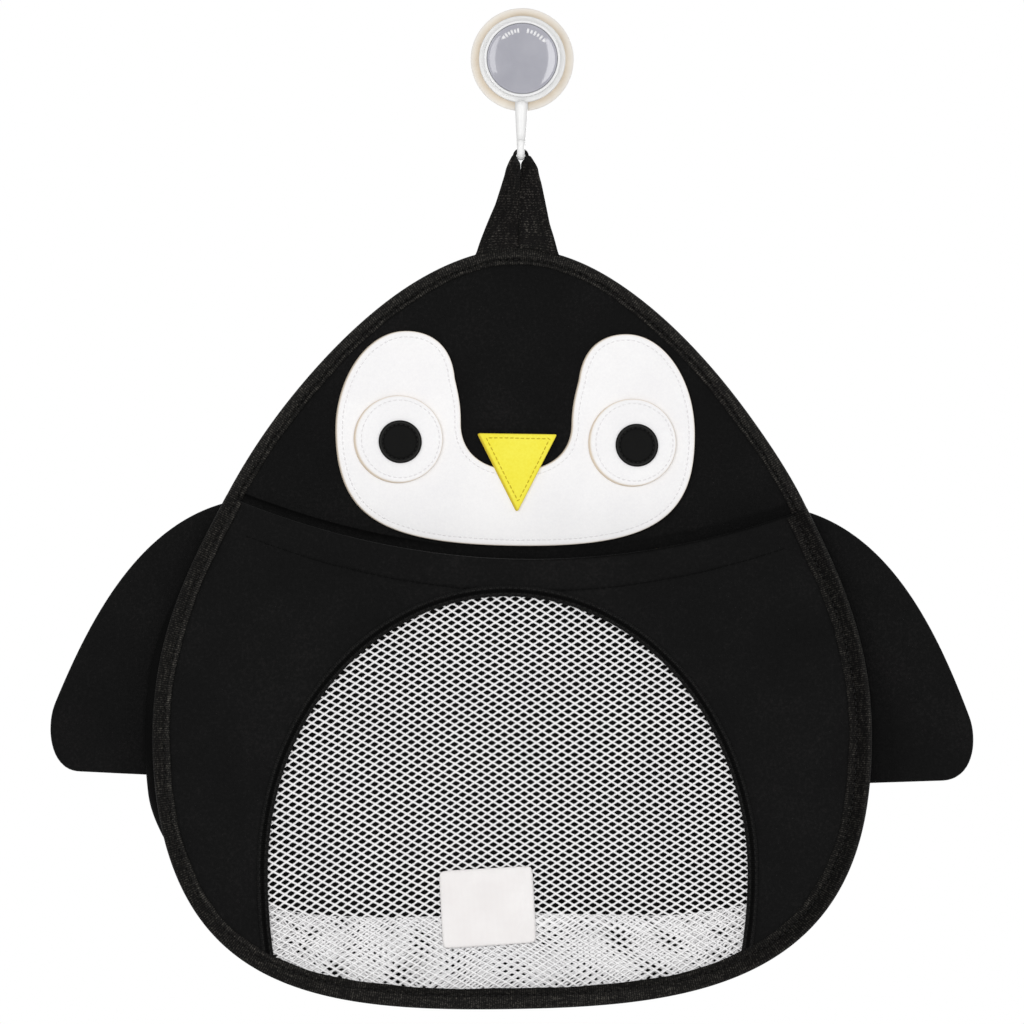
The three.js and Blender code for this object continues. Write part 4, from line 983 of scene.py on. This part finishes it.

# The trim's face from the net outward, as distance and height, and the painted shade that darkens it between
# its two ridges
trim_out, trim_height, trim_tone = array([
    (0, 0, 0.1), (0.1, -0.35, 0.05), (0.5, -0.75, 0), (1, -0.8, 0.05), (1.7, -0.6, 0.3), (2.3, -0.5, 0.65),
    (3, -0.45, 0.75), (3.8, -0.5, 0.6), (4.4, -0.7, 0.2), (5.1, -0.85, 0), (5.6, -0.7, 0.05),
    (5.95, -0.35, 0.35), (6, 0, 0.45)]).T
trim_t = linspace(0, 1, 260)
trim_t = trim_t[inside(window(trim_t, WINDOW_SEAM), rim(linspace(-HALF, HALF, 800), BINDING - 5.4))]
sunk = mix(0.3, 1, smooth(0, 0.012, minimum(trim_t - trim_t[0], trim_t[-1] - trim_t)))[:, None]
trim_at = on_pocket(window(trim_t[:, None], 0.84 * trim_out), trim_height * sunk - FIT)
trim = swept("window_trim", trim_at, TRIM, slot="binding_tape", marks=np.tile(trim_tone, len(trim_t)))
for name, out in (("inner", 1.3), ("outer", 3.8)):
    path = on_pocket(window(trim_t, out), -FIT - 0.6)
    front_pieces.append(stitches("trim_stitches_" + name, path, BLACK_THREAD, 2.8))
cloth(join(outer, inner[::-1]))


# Net

NET_HALF = array([NET_PITCH_X, NET_PITCH_Z]) / 2
NET_REACH = NET_HALF.prod() / np.hypot(*NET_HALF)
CELL_RIM = array([(1, 0), (0.5, 0.5), (0, 1), (-0.5, 0.5), (-1, 0), (-0.5, -0.5), (0, -1), (0.5, -0.5)])
CELL_ROUND = array([0.9, 1.03, 0.88, 1.03, 0.9, 1.03, 0.88, 1.03])[:, None]


def net_cells(columns, rows):
    """Hole centres of a diamond net in offset rows, counted in half pitches."""
    return array([(2 * c + r % 2, r) for r in range(*rows) for c in range(*columns)])


def net(node, cells, place, strand, outline, ridge=0.2):
    """A knotless net: every cell is a diamond hole with a rounded rim, between lens-shaped strands."""
    hole = 1 - strand / 2 / NET_REACH
    knots, front = np.unique((2 * (cells[:, None] + CELL_RIM)).reshape(-1, 2), axis=0, return_inverse=True)
    front = front.reshape(-1, 8)
    count = len(knots)
    rims = 2 * count + np.arange(front.size).reshape(-1, 8)
    edges = cells[:, None] + CELL_RIM * CELL_ROUND * hole
    flat = join(knots / 2, knots / 2, edges.reshape(-1, 2)) * NET_HALF
    heights = np.repeat([ridge, -ridge, 0], [count, count, rims.size])
    faces = [stack([a, roll(a, -1, 1), roll(rims, -1, 1), rims], -1) for a in (front, front + count)]
    piece = make(node, (place(flat, heights), join(*faces).reshape(-1, 4).tolist()), NET)
    piece.visible_shadow = False    # the thin yarn lets the lamps' light through
    cloth(outline, 1 - hole ** 2)


def net_sway(flat):
    """Where a place on the flat net comes to lie: its rows rise gently to the right on the left half."""
    x, z = flat.T
    tilt = 0.013 * x - 0.0004 * maximum(0, 25 - x) ** 2
    z_at = z + tilt + 0.5 * ripple(x * 0.8, z * 0.6, 2.2) + WINDOW_Z
    return points(x + 0.8 * ripple(z, x * 0.5, 0.9), z_at)


low_edge = low_rim(linspace(1, -1, 200) * (HALF - foot_place), 4.0)
net_outline = join(window(linspace(0, 1, 200), WINDOW_SEAM + 0.2), low_edge)
cells = net_cells((-24, 25), (-60, 100))
cells = cells[inside(net_sway(cells * NET_HALF), net_outline)]
net("front_mesh", cells, lambda flat, up: on_pocket(net_sway(flat), NET_BACK - up), NET_STRAND, net_outline)


# Gussets

net_place = place_at(NET_GUSSET_Z)
DRAIN_HALF = HALF - net_place


def gusset_front(flat):
    return pocket_depth(flat) - NEOPRENE - 2 * FIT - TAPE


for side, sign, most in (("left", -1, 6.2), ("right", 1, 1.6)):
    v = linspace(0, 1, 14)
    s = mix(mouth_place + 6, net_place + mix(16, 6, v), linspace(0, 1, 60)[:, None])
    bulge = most * smooth(mouth_place + 10, mouth_place + 90, s) * smooth(place_at(-372), place_at(-336), s)
    inset = GUSSET_IN - bulge * sin(pi * v) ** 0.8
    depth = mix(GUSSET_REAR - SEAM_LAP, gusset_front(rim(sign * s, GUSSET_IN)) + SEAM_LAP, v)
    faces_at = [at_depth(rim(sign * s, inset + thick), depth) for thick in (0.0, GUSSET_CLOTH)]
    gusset = make(side + "_gusset", shell(*faces_at), GUSSET)
    across = norm(np.diff(faces_at[0], axis=1), axis=-1).sum(1)
    flat = join(points(0, s[:, 0]), points(across, s[:, -1])[::-1])
    cloth(flat)


def drain_sizes(w):
    """The drain gusset's inward fold, its width between the seams, and half of its flat width."""
    end = DRAIN_HALF - abs(w)
    fold = FOLD_HEIGHT * sin(pi / 2 * clip(end / DRAIN_HALF, 0, 1)) ** 0.8 * smooth(12, 60, end)
    wide = gusset_front(low_rim(w, GUSSET_IN)) - GUSSET_REAR
    return fold, wide, np.hypot(fold, wide / 2)


def drain_lay(flat):
    """The gusset's net is cut at a slant to the window's."""
    a, b = flat.T
    return 0.97 * a + 0.1 * b, 1.05 * b - 0.06 * a


def drain_at(w, across, heights):
    """Where a point of the flat gusset lies, wrapped round the bottom and folded up along its middle."""
    fold, wide, half = drain_sizes(w)
    v = clip(across / (2 * half) + 0.5, 0, 1)
    tent = 1 - sqrt((2 * v - 1) ** 2 + 0.002)
    inset = GUSSET_IN + fold * tent + DRAIN_FLAT * sin(pi * v) + 0.5 * ripple(w, across * 2, 0.3) * tent
    p = low_rim(w, inset + heights * 0.9 * wide / 2 / half)
    ahead = (1 - abs(2 * v - 1)) * 0.47 * smooth(8, 36, fold)
    leaf = where(v < 0.5, -1, 1) * fold / half
    depth = mix(GUSSET_REAR - SEAM_LAP, GUSSET_REAR + wide + SEAM_LAP, v + ahead)
    return at_depth(p, depth + heights * leaf * 0.9)


def drain_edge(inset):
    """The flat gusset's outline, moved inward."""
    far = DRAIN_HALF - 2 - inset
    w = linspace(-far, far, 161)
    half = drain_sizes(w)[2] - inset
    t = linspace(1, -1, 15)[1:-1]
    return join(points(w, half), points(far, half[-1] * t), points(w, -half)[::-1],
                points(-far, -half[0] * t))


reach = int(DRAIN_HALF / NET_PITCH_X) + 4
cells = net_cells((-reach, reach + 1), (-42, 43))
w, across = drain_lay(cells * NET_HALF)
cells = cells[(abs(w) < DRAIN_HALF - 4) & (abs(across) < drain_sizes(w)[2] - 1.0)]
edge_rings = [drain_at(*drain_edge(inset).T, height) for inset, height in
              ((-0.3, 0.0), (0.0, 0.8), (2.8, 0.8), (3.2, 0.0), (2.8, -0.8), (0.0, -0.8))]
drain_tape = swept(None, stack(edge_rings, 1), TRIM, True, name="drain_edge_tape", slot="binding_tape")
net("drain_gusset", cells, lambda flat, up: drain_at(*drain_lay(flat), up), DRAIN_STRAND, drain_edge(0.0))


# Label

label_half = array([LABEL_WIDE, LABEL_TALL]) / 2
lu, lv = np.meshgrid(linspace(-1, 1, 44), linspace(-1, 1, 38), indexing="ij")
nip = 1 - 0.035 * abs(lu * lv) ** 9
u, v = lu * nip * label_half[0], lv * nip * label_half[1]
tip_cos, tip_sin = cos(LABEL_TIP), sin(LABEL_TIP)
label_at = LABEL_AT + points(u * tip_cos - v * tip_sin, u * tip_sin + v * tip_cos)
edge_gap = minimum(label_half[0] - abs(u), label_half[1] - abs(v))
puff = 0.35 * smooth(0, 3, edge_gap) + 0.2 * ripple(u * 1.6, v * 1.9, 0.8) * smooth(1, 6, edge_gap)
puff += 0.22 * sin(1.3 * u - 0.5 * v) * smooth(6, 19, u) * smooth(0.5, 3, edge_gap)
half = 0.05 + 0.3 * smooth(0, 0.8, edge_gap)
sheet = shell(on_pocket(label_at, 0.2 - puff - half), on_pocket(label_at, 0.2 - puff + half))
label = make("blank_label", sheet, LABEL)
cloth(array([[-1, -1], [1, -1], [1, 1], [-1, 1]]) * label_half)


# Fins

def fin(side, sign, tip, corner):
    start_s, end_s = mouth_place + 5.0, place_at(FIN_FOOT_Z)
    top, foot = rim(start_s, -FIT), rim(end_s, -FIT)
    upper = bezier(top, mix(top, tip, array([0.52, 0.13])), mix(top, tip, array([0.8, 0.59])), tip, 200)
    lower = bezier(tip, tip + [3.5, -10.5], (tip[0] + 1.75, corner[1]), corner, 100)
    at, even = join(linspace(0, 0.95, 70), linspace(0.95, 1, 21)[1:]), linspace(0, 1, 90)
    outer = follow(resample(chain(upper, lower), 90), even, at)
    inner = follow(rim(linspace(start_s, end_s, 90), -0.03), even, at)
    across = join(linspace(0, 0.93, 36), [0.955, 0.972, 0.984, 0.992, 0.997, 1.0])
    flat = inner[:, None] + (outer - inner)[:, None] * across[:, None]
    border = join(outer, linspace(corner, foot, 40)[1:])
    gap = norm(flat[:, :, None] - border, axis=-1).min(-1)
    half = FIN_HALF * sqrt(1 - (1 - minimum(gap / FIN_EDGE, 1)) ** 2)
    middle = FIN_DEPTH - 0.5 * ripple(flat[..., 0], flat[..., 1], 1.1 * sign) * smooth(2, 20, gap)
    flat = flat * [sign, 1]
    verts, faces = shell(at_depth(flat, middle + half), at_depth(flat, middle - half))
    obj = make(side + "_fin", (settle(verts), faces), NEO, None, also=[side + "_fin_root"], weld=WELD)
    start, end = (at_depth((FIN_POINT + way * FIN_OUT) * [sign, 1], FIN_DEPTH) * MM for way in (-2.5, 4.0))
    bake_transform(obj)
    cloth(join(border, inner[::-1]))


fin("left", -1, FIN_TIP, FIN_CORNER)
fin("right", 1, FIN_TIP - [0.3, 0], FIN_CORNER + [-1.6, 0.3])


# Stage: floor, light, camera

floor_mesh = bpy.data.meshes.new("floor")
ring = full_turn(64)
floor_mesh.from_pydata(points(0.6 * cos(ring), 0.6 * sin(ring), -0.62).tolist(), [], [list(range(64))])
floor_shader = Shader("floor_pale", Roughness=0.8)
floor_shader.set(Base_Color=floor_shader.ramp(floor_shader.noise(8), (0.3, 236), (0.7, 244)))
floor_mesh.materials.append(floor_shader.material)
placed("floor", floor_mesh)

world = bpy.data.worlds.new("studio")
bpy.context.scene.world = world
studio = Nodes(world)
rays = studio.node("LightPath").outputs
shown = rays["Is Camera Ray"]
for kind in ("Is Glossy Ray", "Is Transmission Ray"):
    shown = studio.math("MAXIMUM", shown, rays[kind])
lit, seen = (studio.node("Background", {"Color": (1, 1, 1, 1), "Strength": strength}).outputs[0]
             for strength in (0.36, 1.0))
mixed = studio.node("MixShader", {0: shown, 1: lit, 2: seen})
studio.node("OutputWorld", {"Surface": mixed.outputs[0]})


def lamp(name, place, power, size_x, size_y, mirrored=True):
    """A soft box aimed at the pouch; one that is not mirrored shows in no gloss."""
    data = bpy.data.lights.new(name, "AREA")
    data.shape, data.size, data.size_y, data.energy = "RECTANGLE", size_x, size_y, power
    obj = placed(name, data)
    obj.location = place
    obj.rotation_euler = (Vector((0, 0, -0.2)) - Vector(place)).to_track_quat("-Z", "Y").to_euler()
    obj.visible_glossy = mirrored


lamp("key", (-0.86, -1.69, 0.2), 6.8, 0.44, 1.7)
lamp("fill", (0.9, -1.66, -0.25), 4.2, 0.42, 1.5)
lamp("front", (0, -2.1, -0.12), 17.6, 0.8, 0.7, False)
lamp("back", (0.7, 1.9, 0.35), 8.0, 1.2, 1.0)

DISTANCE, WIDE, ROLL = 8.0, 0.4669, radians(0.85)
view = bpy.data.cameras.new("camera")
view.sensor_width = 36.0
view.lens = view.sensor_width * DISTANCE / WIDE
camera = placed("camera", view)
camera.location = (-0.0016, -0.012 - DISTANCE, -0.2066)
camera.rotation_euler = (Matrix.Rotation(pi / 2, 3, "X") @ Matrix.Rotation(ROLL, 3, "Z")).to_euler()
bpy.context.scene.camera = camera

bpy.context.scene.view_settings.view_transform = "Standard"
